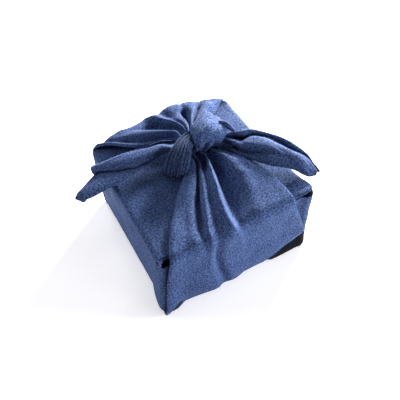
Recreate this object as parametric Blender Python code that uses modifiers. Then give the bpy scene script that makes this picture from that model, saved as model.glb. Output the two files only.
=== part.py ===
"""Furoshiki wrap: one hemmed square of cotton, folded round a two-tier box shape and knotted on top.

The frame stands on the middle of the base, +Z up. -Y is the front face, with the smooth tied flap,
+Y is the back face, with the gathered tied flap, and the two plain flaps come up the -X and +X faces.
The cloth is hollow, because the box is not part of it.
"""
import math
from collections import namedtuple

import bpy
import bmesh
from mathutils import Vector

MM = 0.001

# Driving sizes, in millimetres.
HALF = 100.0            # half the side of the wrapped square base
REACH = 288.0           # cloth left from the top edge of a face to the corner of the square
SHEET = 1.8             # thickness of the main layers
FOLD_SHEET = 1.2        # thickness of the corner folds, which end inside the main layers
PITCH = 2.3             # from one main layer to the next
TURN = 0.95             # radius of a corner fold's turn, on its middle line
TOP_LOW = 98.5          # turned-back tip of the under flap
TOP_MID = 100.8         # under flap across the top
TOP_HIGH = 103.1        # over flap across the top
WALL = HALF - SHEET / 2
INNER_WALL = WALL - PITCH
FOLD_TOP = 96.8         # top edge of the corner folds
FOLD_START = 9.0        # width of a corner fold at the base
FOLD_RISE = 0.85        # and how much wider it gets for each millimetre of height
FLAP_COLUMNS = 18
BAND_COLUMNS = 10
SHARP = math.radians(42.0)

CLOTH_COLOUR = (0.115, 0.165, 0.300, 1.0)

# A tied flap from the base to the knot: where its middle line runs, where its two creases lie,
# how far its edges are turned under, how high its middle billows, and how deep its pleats are.
Row = namedtuple("Row", "y z left right tuck crown pleat")
FRONT_ROWS = (
    Row(-99.0, 0.7, -99.5, 99.5, 2.0, 0.0, 0.0),
    Row(-99.1, 6.0, -101.0, 100.5, 3.0, 2.5, 0.2),
    Row(-99.1, 20.0, -100.5, 100.8, 7.0, 4.0, 0.5),
    Row(-99.1, 45.0, -99.0, 98.0, 12.0, 3.5, 0.8),
    Row(-99.1, 72.0, -94.0, 90.5, 12.0, 2.0, 1.0),
    Row(-99.0, 94.0, -88.5, 80.5, 12.0, 1.5, 1.0),
    Row(-96.6, 104.5, -86.0, 75.0, 12.0, 1.0, 1.0),
    Row(-89.0, 108.2, -80.5, 73.5, 13.0, 1.5, 1.0),
    Row(-72.0, 109.8, -69.5, 72.5, 14.0, 2.5, 1.0),
    Row(-54.0, 111.6, -57.5, 69.5, 14.0, 4.0, 1.0),
    Row(-38.0, 113.6, -47.0, 65.0, 12.0, 4.5, 1.0),
    Row(-24.0, 115.4, -36.0, 58.0, 9.0, 3.5, 0.9),
    Row(-12.0, 116.8, -25.0, 48.0, 6.0, 2.0, 0.7),
    Row(-2.0, 117.4, -12.5, 35.0, 4.0, 1.0, 0.3),
    Row(6.0, 116.6, -5.0, 27.0, 3.0, 0.0, 0.0),
)
BACK_ROWS = (
    Row(99.0, 0.7, -99.5, 99.5, 2.0, 0.0, 0.0),
    Row(99.1, 8.0, -99.3, 100.0, 4.0, 1.0, 0.2),
    Row(99.1, 40.0, -98.0, 99.5, 10.0, 2.5, 0.5),
    Row(99.1, 76.0, -95.5, 98.0, 12.0, 4.0, 0.8),
    Row(99.0, 96.0, -93.0, 96.5, 12.0, 5.0, 1.0),
    Row(97.4, 105.0, -91.0, 95.0, 12.0, 8.0, 1.0),
    Row(92.0, 108.6, -80.0, 88.0, 12.0, 11.0, 1.0),
    Row(84.0, 110.6, -66.0, 78.5, 11.0, 9.5, 1.0),
    Row(76.0, 112.6, -51.0, 67.0, 9.0, 6.5, 1.0),
    Row(68.0, 114.8, -37.0, 52.5, 6.0, 3.5, 0.8),
    Row(61.0, 116.2, -21.0, 40.5, 4.0, 1.5, 0.4),
    Row(53.0, 115.4, -5.0, 30.0, 3.0, 0.0, 0.0),
)

# A pleat of a tied flap: its place across the flap at the knot, at the top edge and near the base,
# its depth (up is positive) and its reach to the left and to the right of its line.
Pleat = namedtuple("Pleat", "knot edge base depth reach_left reach_right stop")
FRONT_PLEATS = (
    Pleat(-3.0, -42.0, -46.0, -4.5, 8.0, 8.0, 118.0),      # first trough, dies near the edge
    Pleat(6.0, -32.0, -14.0, -4.5, 8.0, 9.0, 20.0),        # long trough, runs down the face
    Pleat(14.0, -6.0, -2.0, 3.6, 7.0, 5.0, 70.0),          # sharp ridge
    Pleat(24.0, 8.0, 10.0, -7.0, 6.0, 16.0, 96.0),         # deep trough behind the ridge
    Pleat(34.0, 44.0, 42.0, 3.0, 16.0, 16.0, 60.0),        # lit swell
)
BACK_PLEATS = (
    Pleat(22.0, 50.0, 40.0, -4.0, 5.0, 7.0, 60.0),         # narrow trough right of the middle
    Pleat(18.0, 33.0, 30.0, -6.0, 7.0, 6.0, 50.0),         # deep trough
    Pleat(14.0, 14.0, 14.0, 4.0, 9.0, 9.0, 50.0),          # high ridge beside it
    Pleat(10.0, -16.0, -10.0, -6.0, 7.0, 7.0, 50.0),       # second deep trough
    Pleat(6.0, -44.0, -36.0, 3.0, 9.0, 12.0, 60.0),        # ridge
    Pleat(0.0, -76.0, -66.0, -4.0, 9.0, 7.0, 70.0),        # trough beside the left crease
)

# A tied end from its flap through the knot to its ear: its middle line, its width and thickness,
# the heading of its width in degrees, how square its edges are, and how far its middle is folded.
Band = namedtuple("Band", "x y z width thick heading blunt fold")
FIRST_LOOP = (
    Band(10.5, -6.0, 113.6, 46.0, 9.0, 0.0, 3.0, 0.0),
    Band(13.5, 9.0, 113.4, 34.0, 10.5, -14.0, 2.4, 0.0),
    Band(27.0, 28.0, 113.6, 27.0, 11.0, -32.0, 2.2, 0.0),
    Band(42.0, 40.5, 117.0, 29.0, 12.0, -40.0, 2.2, 0.0),
    Band(50.5, 45.0, 126.0, 33.0, 13.0, -40.0, 2.2, 0.0),
    Band(46.0, 39.5, 135.0, 38.0, 14.5, -40.0, 2.2, 0.0),
    Band(36.5, 28.5, 139.5, 42.0, 16.5, -39.0, 2.2, 0.0),
    Band(26.5, 18.0, 139.5, 40.0, 17.0, -35.0, 2.2, 0.0),
    Band(18.0, 10.0, 136.0, 34.0, 15.5, -30.0, 2.2, 0.0),
    Band(12.0, 5.0, 129.8, 27.0, 11.5, -30.0, 2.2, 0.0),
    Band(9.5, 4.0, 123.4, 22.0, 9.0, -32.0, 2.2, 0.0),
)
FIRST_EAR = (
    Band(8.5, 6.0, 120.4, 19.0, 8.5, -122.0, 2.2, 0.0),
    Band(-8.0, 17.5, 119.8, 22.0, 10.0, -126.0, 2.2, 0.0),
    Band(-25.0, 29.0, 121.6, 24.0, 9.0, -122.0, 2.6, 1.5),
    Band(-46.0, 37.0, 121.6, 29.0, 7.0, -112.0, 4.0, 4.0),
    Band(-64.0, 37.5, 120.2, 32.0, 5.6, -104.0, 6.0, 5.5),
    Band(-81.0, 38.0, 118.0, 36.0, 4.6, -100.0, 8.0, 6.0),
    Band(-98.0, 39.5, 115.6, 39.0, 4.2, -102.0, 8.0, 6.0),
    Band(-114.0, 38.5, 113.0, 38.0, 3.8, -108.0, 8.0, 4.5),
    Band(-127.0, 34.0, 110.6, 29.0, 3.4, -114.0, 8.0, 2.0),
    Band(-137.0, 29.5, 108.6, 19.0, 3.0, -118.0, 8.0, 1.0),
    Band(-144.0, 27.0, 107.0, 10.0, 2.6, -120.0, 8.0, 0.0),
)
SECOND_END = (
    Band(16.0, 61.0, 113.0, 44.0, 9.0, 0.0, 3.0, 0.0),
    Band(8.5, 44.0, 112.8, 31.0, 10.5, -20.0, 2.4, 0.0),
    Band(-6.0, 26.5, 111.6, 26.0, 9.5, -40.0, 2.2, 0.0),
    Band(-20.5, 12.0, 110.8, 26.0, 8.0, -42.0, 2.2, 0.0),
    Band(-29.5, 1.5, 112.6, 27.0, 7.5, -42.0, 2.2, 0.0),
    Band(-30.5, -2.5, 119.6, 29.0, 8.5, -42.0, 2.2, 0.0),
    Band(-22.5, 3.5, 127.0, 30.0, 11.0, -44.0, 2.2, 0.0),
    Band(-12.0, 12.5, 130.5, 27.0, 13.5, -50.0, 2.2, 0.0),
    Band(-2.0, 21.0, 132.0, 24.0, 13.5, -58.0, 2.2, 0.0),
    Band(8.0, 26.0, 130.5, 24.0, 14.0, -68.0, 2.2, 0.0),
    Band(22.0, 26.0, 127.5, 26.0, 14.5, -86.0, 2.2, 0.0),
    Band(37.0, 19.0, 125.0, 25.0, 12.0, -108.0, 2.4, 1.0),
    Band(50.0, 7.0, 124.0, 28.0, 8.5, -124.0, 3.6, 4.0),
    Band(63.0, -6.0, 123.6, 35.0, 6.2, -130.0, 6.0, 7.0),
    Band(78.5, -20.5, 122.4, 41.0, 4.8, -136.0, 8.0, 7.0),
    Band(93.0, -35.0, 119.6, 40.0, 4.2, -141.0, 8.0, 5.5),
    Band(105.0, -50.0, 116.4, 34.0, 3.8, -146.0, 8.0, 4.5),
    Band(113.0, -63.0, 113.0, 29.0, 3.4, -150.0, 8.0, 2.5),
    Band(117.5, -74.5, 109.8, 20.0, 3.0, -154.0, 8.0, 1.0),
    Band(120.5, -83.5, 107.2, 10.0, 2.6, -156.0, 8.0, 0.0),
)


def blend(a, b, t):
    return a + (b - a) * t


def smooth(rows, per_span):
    """More rows of the same kind, on a Catmull-Rom curve through the table."""
    out = []
    last = len(rows) - 1
    for i in range(last):
        p0, p1, p2, p3 = rows[max(i - 1, 0)], rows[i], rows[i + 1], rows[min(i + 2, last)]
        for k in range(per_span):
            t = k / per_span
            out.append(type(rows[0])(*[
                0.5 * (2 * b + (c - a) * t + (2 * a - 5 * b + 4 * c - d) * t * t
                       + (3 * b - a - 3 * c + d) * t ** 3)
                for a, b, c, d in zip(p0, p1, p2, p3)]))
    out.append(rows[last])
    return out


def arc(cx, cy, radius, start, end, count):
    """Points of an arc in a plane, angles in degrees, both ends in."""
    out = []
    for k in range(count + 1):
        angle = math.radians(blend(start, end, k / count))
        out.append((cx + radius * math.cos(angle), cy + radius * math.sin(angle)))
    return out


def grid_mesh(name, rows):
    """An open surface through rows of points, given in millimetres."""
    mesh = bpy.data.meshes.new(name)
    bm = bmesh.new()
    verts = [[bm.verts.new(Vector(p) * MM) for p in row] for row in rows]
    for lower, upper in zip(verts, verts[1:]):
        for a, b, c, d in zip(lower, lower[1:], upper[1:], upper):
            bm.faces.new((a, b, c, d))
    bmesh.ops.recalc_face_normals(bm, faces=bm.faces)
    bm.to_mesh(mesh)
    bm.free()
    mesh.shade_smooth()
    mesh.set_sharp_from_angle(angle=SHARP)
    return mesh


def loft_mesh(name, rings):
    """A closed body through rings of points, given in millimetres."""
    mesh = bpy.data.meshes.new(name)
    bm = bmesh.new()
    verts = [[bm.verts.new(Vector(p) * MM) for p in ring] for ring in rings]
    count = len(rings[0])
    for lower, upper in zip(verts, verts[1:]):
        for k in range(count):
            n = (k + 1) % count
            bm.faces.new((lower[k], lower[n], upper[n], upper[k]))
    bm.faces.new(tuple(reversed(verts[0])))
    bm.faces.new(tuple(verts[-1]))
    bmesh.ops.recalc_face_normals(bm, faces=bm.faces)
    bm.to_mesh(mesh)
    bm.free()
    mesh.shade_smooth()
    mesh.set_sharp_from_angle(angle=SHARP)
    return mesh


def cloth_material():
    material = bpy.data.materials.new("indigo_cotton")
    material.use_nodes = True
    shader = material.node_tree.nodes["Principled BSDF"]
    shader.inputs["Base Color"].default_value = CLOTH_COLOUR
    shader.inputs["Roughness"].default_value = 0.92
    shader.inputs["Metallic"].default_value = 0.0
    return material


def sheet_object(name, mesh, thickness, collection):
    obj = bpy.data.objects.new(name, mesh)
    collection.objects.link(obj)
    solid = obj.modifiers.new("Cloth thickness", "SOLIDIFY")
    solid.thickness = thickness * MM
    solid.offset = 0.0
    solid.use_even_offset = True
    solid.use_quality_normals = True
    return obj


def as_guide(obj):
    obj.hide_render = True
    obj.display_type = "WIRE"


def pleat_height(pleats, x, run, edge_run, full_run):
    """How far the pleats lift or sink the cloth at x, at a distance run up from the base."""
    total = 0.0
    for pleat in pleats:
        if run < edge_run:
            line = blend(pleat.base, pleat.edge, run / edge_run)
        else:
            line = blend(pleat.edge, pleat.knot, (run - edge_run) / (full_run - edge_run))
        reach = pleat.reach_left if x < line else pleat.reach_right
        if run > edge_run:
            reach *= blend(1.0, 0.45, (run - edge_run) / (full_run - edge_run))
        fade = min(1.0, max(0.0, (run - pleat.stop) / 35.0))
        total += pleat.depth * fade * math.exp(-((x - line) / reach) ** 2)
    return total


def flap_rows(table):
    """The table's own rows up the face, and twice as many from the top edge to the knot."""
    rows = smooth(table, 2)
    return [row for i, row in enumerate(rows) if row.z > 90.0 or i % 2 == 0]


def tied_flap(name, table, pleats, collection):
    """A tied flap as one sheet, with both its edges turned under."""
    rows = flap_rows(table)
    side = 1.0 if table[0].y > 0 else -1.0
    runs = [0.0]
    for a, b in zip(rows, rows[1:]):
        runs.append(runs[-1] + math.hypot(b.y - a.y, b.z - a.z))
    edge_run = table[5].z
    grid = []
    for i, row in enumerate(rows):
        before, after = rows[max(i - 1, 0)], rows[min(i + 1, len(rows) - 1)]
        ty, tz = after.y - before.y, after.z - before.z
        length = math.hypot(ty, tz)
        ny, nz = side * tz / length, -side * ty / length
        half_turn = PITCH / 2
        line = []
        # the outer layer, crease to crease: across, then out along the normal
        for k in range(FLAP_COLUMNS + 1):
            u = k / FLAP_COLUMNS
            x = blend(row.left, row.right, u)
            out = row.crown * math.sin(math.pi * u) ** 0.8
            edge = min(1.0, min(u, 1.0 - u) * 9.0)
            out += row.pleat * edge * pleat_height(pleats, x, runs[i], edge_run, runs[-1])
            out = max(out, min(-0.2, TOP_HIGH + PITCH - row.z))
            line.append((x, out))
        # a crease that runs slantwise to the rows gets a longer turn along the row
        slant_left = min(4.0, math.hypot(1.0, (after.left - before.left) / length))
        slant_right = min(4.0, math.hypot(1.0, (after.right - before.right) / length))
        left_turn = [(row.left + (x - row.left) * slant_left, out) for x, out in
                     arc(row.left, -half_turn, half_turn, 270, 90, 3)[:-1]]
        right_turn = [(row.right + (x - row.right) * slant_right, out) for x, out in
                      arc(row.right, -half_turn, half_turn, 90, -90, 3)[1:]]
        left = [(row.left + row.tuck, -PITCH)] + left_turn
        right = right_turn + [(row.right - row.tuck, -PITCH)]
        grid.append([(x, row.y + ny * out, row.z + nz * out) for x, out in left + line + right])
    return sheet_object(name, grid_mesh(name, grid), SHEET, collection)


def corner_fold(name, side_x, side_y, wall, table, collection):
    """The folded corner: from a plain face round the upright edge, across, and back under the tied flap."""
    rows = smooth(table, 2)
    heights = [0.7, 6.0, 14.0, 30.0, 50.0, 75.0, FOLD_TOP]
    turn_y = WALL - PITCH - 2 * TURN
    radius = 2.4
    grid = []
    for z in heights:
        row = min(rows[:11], key=lambda r: abs(r.z - z))
        crease = abs(row.left if side_x < 0 else row.right)
        stop = crease - 0.45 * row.tuck
        width = FOLD_START + FOLD_RISE * z
        line = [(wall, 78.0), (wall, turn_y - radius)]
        line += arc(wall - radius, turn_y - radius, radius, 22.5, 90, 3)
        line += [(wall - width, turn_y)]
        line += arc(wall - width, turn_y + TURN, TURN, 225, 90, 3)
        line += [(stop, turn_y + 2 * TURN)]
        grid.append([(side_x * x, side_y * y, z) for x, y in line])
    return sheet_object(name, grid_mesh(name, grid), FOLD_SHEET, collection)


def plain_flap(name, path, collection):
    """A plain flap: a path of (x, z, half width) from the base up a face and over the top."""
    steps = (-1.0, -0.5, 0.0, 0.5, 1.0)
    grid = [[(x, half * s, z) for s in steps] for x, z, half in path]
    return sheet_object(name, grid_mesh(name, grid), SHEET, collection)


def over_flap_path():
    """Up the -X face, right across the top, and down the +X face to its point."""
    face_half, top_half, bend = HALF - 10.0, HALF - 7.5, 5.0
    path = [(-WALL, 0.7, face_half), (-WALL, 50.0, face_half)]
    path += [(x, z, blend(face_half, top_half, k / 3)) for k, (x, z) in
             enumerate(arc(-WALL + bend, TOP_HIGH - bend, bend, 180, 90, 3))]
    for x in (-40.0, 20.0, 70.0, HALF - 12.0):
        path.append((x, TOP_HIGH, min(top_half, REACH - (x + HALF))))
    path += [(x, z, REACH - 2 * HALF + 4.0 - 2.0 * k) for k, (x, z) in
             enumerate(arc(WALL - bend, TOP_HIGH - bend, bend, 90, 0, 3))]
    tip = TOP_HIGH - (REACH - 2 * HALF)
    path += [(WALL, 60.0, 60.0 - tip + 1.0), (WALL, tip + 2.0, 3.0)]
    return path


def under_flap_path():
    """Up the +X face, across under the over flap, and turned back beneath itself."""
    face_half, top_half, bend = HALF - 10.0, HALF - 8.5, 4.0
    fold_x = -84.0
    turn = PITCH / 2
    path = [(INNER_WALL, 0.7, face_half), (INNER_WALL, 50.0, face_half)]
    path += [(x, z, blend(face_half, top_half, k / 3)) for k, (x, z) in
             enumerate(arc(INNER_WALL - bend, TOP_MID - bend, bend, 0, 90, 3))]
    path += [(20.0, TOP_MID, top_half)]
    path += [(x, z, top_half) for x, z in arc(fold_x, TOP_MID - turn, turn, 90, 270, 4)]
    back = REACH - (INNER_WALL - fold_x) - 6.0
    path += [(fold_x + back, TOP_LOW, 3.0)]
    return path


def tied_end(name, table, collection):
    """A tied end: gathered into a band in the knot, and opened again into its ear."""
    rows = smooth(table, 2)
    rings = []
    for i, row in enumerate(rows):
        before, after = rows[max(i - 1, 0)], rows[min(i + 1, len(rows) - 1)]
        tangent = Vector((after.x - before.x, after.y - before.y, after.z - before.z)).normalized()
        angle = math.radians(row.heading)
        across = Vector((math.cos(angle), math.sin(angle), 0.0))
        across = (across - tangent * across.dot(tangent)).normalized()
        up = across.cross(tangent).normalized()
        centre = Vector((row.x, row.y, row.z))
        top, bottom = [], []
        for k in range(BAND_COLUMNS + 1):
            s = -math.cos(math.pi * k / BAND_COLUMNS)
            half = row.thick / 2 * (1.0 - abs(s) ** row.blunt) ** (1.0 / row.blunt)
            lift = row.fold * (math.cos(2 * math.pi * s) * -0.5 - 0.35 * s * s)
            point = centre + across * (s * row.width / 2) + up * lift
            top.append(point + up * half)
            bottom.append(point - up * half)
        rings.append(top + bottom[-2:0:-1])
    obj = bpy.data.objects.new(name, loft_mesh(name, rings))
    collection.objects.link(obj)
    return obj


def base_panel(name, collection):
    """The cloth under the base, flat on the table."""
    bpy.ops.mesh.primitive_cube_add(size=1.0, location=(0.0, 0.0, SHEET / 2 * MM))
    obj = bpy.context.object
    obj.name = name
    obj.scale = (2 * HALF * MM, 2 * HALF * MM, SHEET * MM)
    bpy.ops.object.transform_apply(location=True, rotation=False, scale=True)
    for other in list(obj.users_collection):
        other.objects.unlink(obj)
    collection.objects.link(obj)
    return obj


def main():
    for obj in list(bpy.data.objects):
        bpy.data.objects.remove(obj, do_unlink=True)
    scene = bpy.context.scene
    parts = bpy.data.collections.new("furoshiki_wrap")
    guides = bpy.data.collections.new("joined_shapes")
    scene.collection.children.link(parts)
    scene.collection.children.link(guides)

    cloth = base_panel("wrapping_cloth", parts)
    joined = [
        tied_flap("front_flap", FRONT_ROWS, FRONT_PLEATS, guides),
        tied_flap("back_flap", BACK_ROWS, BACK_PLEATS, guides),
        plain_flap("over_flap", over_flap_path(), guides),
        plain_flap("under_flap", under_flap_path(), guides),
        corner_fold("fold_front_left", -1, -1, WALL, FRONT_ROWS, guides),
        corner_fold("fold_front_right", 1, -1, INNER_WALL, FRONT_ROWS, guides),
        corner_fold("fold_back_left", -1, 1, WALL, BACK_ROWS, guides),
        corner_fold("fold_back_right", 1, 1, INNER_WALL, BACK_ROWS, guides),
        tied_end("first_loop", FIRST_LOOP, guides),
        tied_end("first_ear", FIRST_EAR, guides),
        tied_end("second_end", SECOND_END, guides),
    ]
    for shape in joined:
        as_guide(shape)
        union = cloth.modifiers.new("Join " + shape.name, "BOOLEAN")
        union.operation = "UNION"
        union.solver = "EXACT"
        union.object = shape
    cloth.data.materials.append(cloth_material())


main()
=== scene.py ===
"""Looks of the furoshiki wrap: one hemmed square of indigo cotton, folded round a box and knotted.

The cloth is one sheet. Its plain flaps come up the -X and +X faces, its tied flaps up the -Y and +Y
faces, and the two tied ends make a square knot on top and open again into two ears. Tables are in
millimetres, on the frame's own axes.
"""
import math

import bpy
import numpy as np
from mathutils import Matrix, Vector


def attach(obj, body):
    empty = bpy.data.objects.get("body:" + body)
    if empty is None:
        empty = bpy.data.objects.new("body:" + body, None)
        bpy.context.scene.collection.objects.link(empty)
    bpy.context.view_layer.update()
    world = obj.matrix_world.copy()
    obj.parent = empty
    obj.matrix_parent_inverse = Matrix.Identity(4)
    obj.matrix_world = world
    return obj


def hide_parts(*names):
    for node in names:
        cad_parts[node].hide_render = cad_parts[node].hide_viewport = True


MM = 0.001
CLOTH_SIDE = 0.70           # the hemmed square, in metres
SHEET = 0.9                 # cloth thickness
HEM_WIDTH = 6.0             # rolled hem, measured from the edge
NO_HEM = 30.0               # distance to the hem that a sheet away from any hem is given
LEFT_CREASE = 3.2           # how far the front flap's left crease stands off the cloth beneath
RIGHT_CREASE = 3.0          # and its right crease
# painted shade: how dark the cloth is painted just under a crease, where it lies in shadow
CREASE_DARK = 0.8           # how dark the cloth is just under a crease
POCKET_DIP = 7.8            # how far the wrap's top edge dips at the front left pocket
STITCH_IN = 4.4             # the hem's stitches, measured from the edge
HEM_SWELL = 1.1             # how much thicker the hem is than the cloth
CORNER = CLOTH_SIDE / math.sqrt(2.0) / MM   # centre of the square to its corner
TOP = 103.6                 # over flap's middle surface on top
WALL = 99.5                 # over flap's middle surface on its face
TIED_TOP = 104.7            # the plane that the tied flaps lie on
TIED_WALL = 100.4           # and the plane that they come up
EDGE_SPREAD = 2.4           # how much further the tied flaps' bend reaches down the face than inwards
TUCK_GAP = 1.5              # from a tied flap to its own turned-under edge
UNDER_INSET = 1.1           # how far the under flap's face lies inside the over flap's
WRAP_DEPTH = 98.9           # the plain flaps' cloth where it is wrapped onto a tied face
FRONT_WRAP_TOP = 101.6      # top edge of that cloth on the front face
ROLLED_EDGE = 92.0          # where the plain flaps' side edges start to roll over the top edge
FACE_START = 90.0           # flat cloth from its centre to where a plain flap's sheet starts
ON_TABLE = 0.5              # middle surface of a plain flap under the base
BASE_HALF = 100.0           # half the side of the wrapped base
TOP_EDGE_RUN = 6.0          # a row of a tied flap just past the box's top edge
TOP_EDGE_CLOTH = 205.0      # and the flat cloth from its centre to that row
SIDE_EDGE_CLOTH = 200.0     # where the weave's pattern starts along the plain flaps' side edges
HEM_SLOPE = 0.707           # the hems cross the plain flaps at 45 degrees
THREAD_PITCH = 0.0011       # one thread of the weave, in metres
EASE = 0.4                  # how far a net's points are drawn towards their neighbours

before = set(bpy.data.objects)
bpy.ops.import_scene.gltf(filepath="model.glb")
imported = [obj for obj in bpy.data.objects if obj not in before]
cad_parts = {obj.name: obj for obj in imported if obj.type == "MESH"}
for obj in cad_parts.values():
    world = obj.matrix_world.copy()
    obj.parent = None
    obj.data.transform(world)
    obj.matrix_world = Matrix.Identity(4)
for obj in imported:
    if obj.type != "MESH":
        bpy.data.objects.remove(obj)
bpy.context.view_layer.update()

# ---------------------------------------------------------------- tied flaps
# A tied flap is a net of fold lines. Each section of the front flap is (run, (x, out), ...) from the
# left crease to the right one: run is the distance past the box's top edge, negative down the face,
# and out is the height over the face or the top.
FRONT_SECTIONS = (
    (-112, (-103, 5), (-99, 3), (-88, -3.5), (-62, -3), (-52, -2), (-42, -2), (-31, -1), (-20, -1),
     (-10, 0), (0, -1), (8, -2), (16, -2), (30, -1), (46, 0), (64, 1), (97, 0), (100, 0)),
    (-104, (-103.5, 6.2), (-99.5, 6), (-88, 0), (-62, 1.5), (-52, 3), (-42, 3.6), (-31, 4), (-20, 2.2),
     (-10, 4), (0, 3.5), (7, 2.5), (16, 2), (30, 2.3), (46, 3.4), (64, 4.6), (94, 4), (97, 2.4)),
    (-94, (-102.5, 7.2), (-99, 7.4), (-82, 3.2), (-62, 6), (-52, 7.5), (-42, 8.6), (-31.5, 8.8),
     (-21.5, 4.6), (-12, 8.6), (-2, 8), (6, 6.4), (15, 5), (30, 5), (46, 5.2), (64, 5.4), (93, 4.4),
     (96, 2.6)),
    (-80, (-100, 4.5), (-96.5, 6), (-76, 6), (-62, 7.4), (-52, 8.4), (-43, 9.2), (-33.5, 9.4), (-24, 4.4),
     (-14.5, 9), (-4, 8.2), (5, 7), (14, 6), (29, 5.4), (45, 5.2), (62, 4.6), (93, 3.8), (96.5, 2)),
    (-58, (-97, 2.2), (-93, 4), (-74, 5), (-61, 6.2), (-52.5, 7), (-45, 7.6), (-37, 8), (-28.8, 2.6),
     (-20, 8), (-7, 7), (3.6, 6.2), (12, 5), (27, 4.6), (43, 4.8), (60, 4), (88, 3), (91.5, 1.4)),
    (-30, (-92.5, 1.3), (-88.5, 2.6), (-72, 3.8), (-58, 4.8), (-50.5, 5), (-44.5, 5.8), (-39, 6.8),
     (-31.8, 2.6), (-23, 6.8), (-10.5, 6), (0.6, 5.6), (8, 4), (23, 4), (39, 4.8), (56, 4.2), (79.5, 2.4),
     (82.5, 1.2)),
    (-8, (-87.8, 1.3), (-84.5, 2.8), (-67.5, 4.2), (-54, 5), (-46, 4.4), (-41.5, 5.8), (-37.6, 7.4),
     (-30.6, 3.2), (-21, 7.6), (-9.6, 7.6), (-3, 6.4), (3, 3.2), (12, 3.8), (30, 6), (46, 5), (71.5, 2),
     (74.5, 1.2)),
    (4, (-83.8, 1.4), (-81, 3), (-64, 4.8), (-51.5, 6), (-42.6, 3.4), (-38.8, 6.4), (-35.2, 8), (-27, 4.2),
     (-16, 9), (-7.9, 11.4), (-5, 7.8), (0.3, 2.2), (8.5, 4.4), (27, 8.4), (44, 7), (71.4, 3), (73.8, 2.2)),
    (16, (-77.5, 2), (-74.8, 3.8), (-59, 6), (-48.4, 6.6), (-36.5, 1.8), (-33.4, 7.6), (-30.3, 9.6),
     (-22.5, 6.0), (-13, 10), (-6.7, 12.4), (-3.7, 8.8), (2.4, 1.4), (14.6, 5.2), (31, 9.6), (47, 8.6),
     (70.8, 4.4), (73.2, 3.4)),
    (30, (-70, 2.8), (-67.4, 4.8), (-51.5, 7.8), (-42.4, 8), (-30.8, 1.2), (-27.9, 9.4), (-24.1, 11.6),
     (-18.1, 8.2), (-10.1, 11.6), (-3.9, 14.2), (-0.9, 10.4), (5.8, 1), (22.7, 8.2), (35, 12), (50, 10.6),
     (69.2, 6), (71.6, 5)),
    (45, (-59.2, 3.8), (-56.6, 6.2), (-43.5, 9.8), (-34.5, 10), (-25.1, 1.4), (-21.8, 10.7), (-17.6, 13.4),
     (-12, 10.4), (-5.5, 13), (0, 15.6), (3.1, 11.8), (9.5, 0.9), (27, 10.6), (37.2, 14.8), (52, 12.4),
     (67.2, 7.2), (69.8, 6.2)),
    (60, (-47.6, 5), (-45, 7.6), (-34.5, 12), (-23.8, 11.8), (-18.3, 2), (-14.6, 11.8), (-11, 14.4),
     (-5.6, 12.4), (-0.1, 15), (4.3, 19), (7.3, 12.8), (13.7, 1), (29.5, 12.6), (37.5, 17), (52, 14),
     (64.4, 8.4), (67, 7.2)),
    (74, (-36, 6.4), (-33.6, 9), (-26, 13.4), (-14.6, 13), (-11, 3), (-8, 12.5), (-5, 14.8), (0.3, 12.5),
     (5, 15), (8.2, 19), (11.1, 13.2), (17.3, 1.3), (29.5, 12.8), (36.5, 17.8), (49, 15), (59.4, 9.6),
     (61.8, 8.2)),
    (86, (-25.4, 7.8), (-23.4, 10.2), (-17.6, 14.4), (-7.6, 13.8), (-4.8, 4), (-2.5, 12.8), (-0.2, 14.6),
     (5.2, 7.6), (9, 13.2), (11.3, 18.4), (13.9, 13.3), (19.7, 2.2), (27.8, 11.4), (34, 17.2), (44, 14.8),
     (53.6, 9.8), (55.8, 8.4)),
    (96, (-16.2, 8.8), (-14.8, 11), (-10.4, 14.8), (-2, 13.8), (0.1, 5), (2.2, 12.8), (4, 14.6), (8.6, 4.6),
     (12.4, 13), (14.2, 17.6), (16, 13.3), (20.5, 3.4), (26.4, 8), (30.5, 15.8), (38.6, 13.4), (47.2, 9),
     (49.4, 7.6)),
    (104, (-9.8, 9.8), (-8.8, 11.4), (-5.6, 14.2), (0.2, 13), (1.8, 7), (3.4, 12.6), (4.8, 14), (8.6, 5.4),
     (12, 12.5), (14, 16.4), (15.8, 12.8), (19, 5), (23.8, 8.2), (27.5, 13.8), (35, 12.2), (44.6, 9.2),
     (46.8, 8)),
    (112, (-5, 10.4), (-4.2, 11.4), (-1.8, 13), (0.6, 12.4), (1.8, 9), (3, 12.2), (4.6, 13.2), (8, 7.4),
     (11, 12), (13, 14.4), (14.8, 12), (18, 7), (22.6, 9), (26, 12.4), (32.6, 11.6), (41.4, 9.4),
     (43.5, 8.2)),
    (124, (-1, 9.6), (0, 10), (2, 10.6), (4, 10.2), (5.2, 9.2), (6.4, 10.2), (8, 10.6), (10.4, 9),
     (12.4, 10.4), (14, 11), (15.6, 10.2), (18.2, 9), (21.4, 9.6), (24.4, 10.6), (29.6, 10.2), (36, 9.2),
     (38, 8.4)),
)
FRONT_TUCK = ((-112, 3), (-80, 10), (0, 13), (60, 13), (96, 8), (124, 3))

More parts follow.
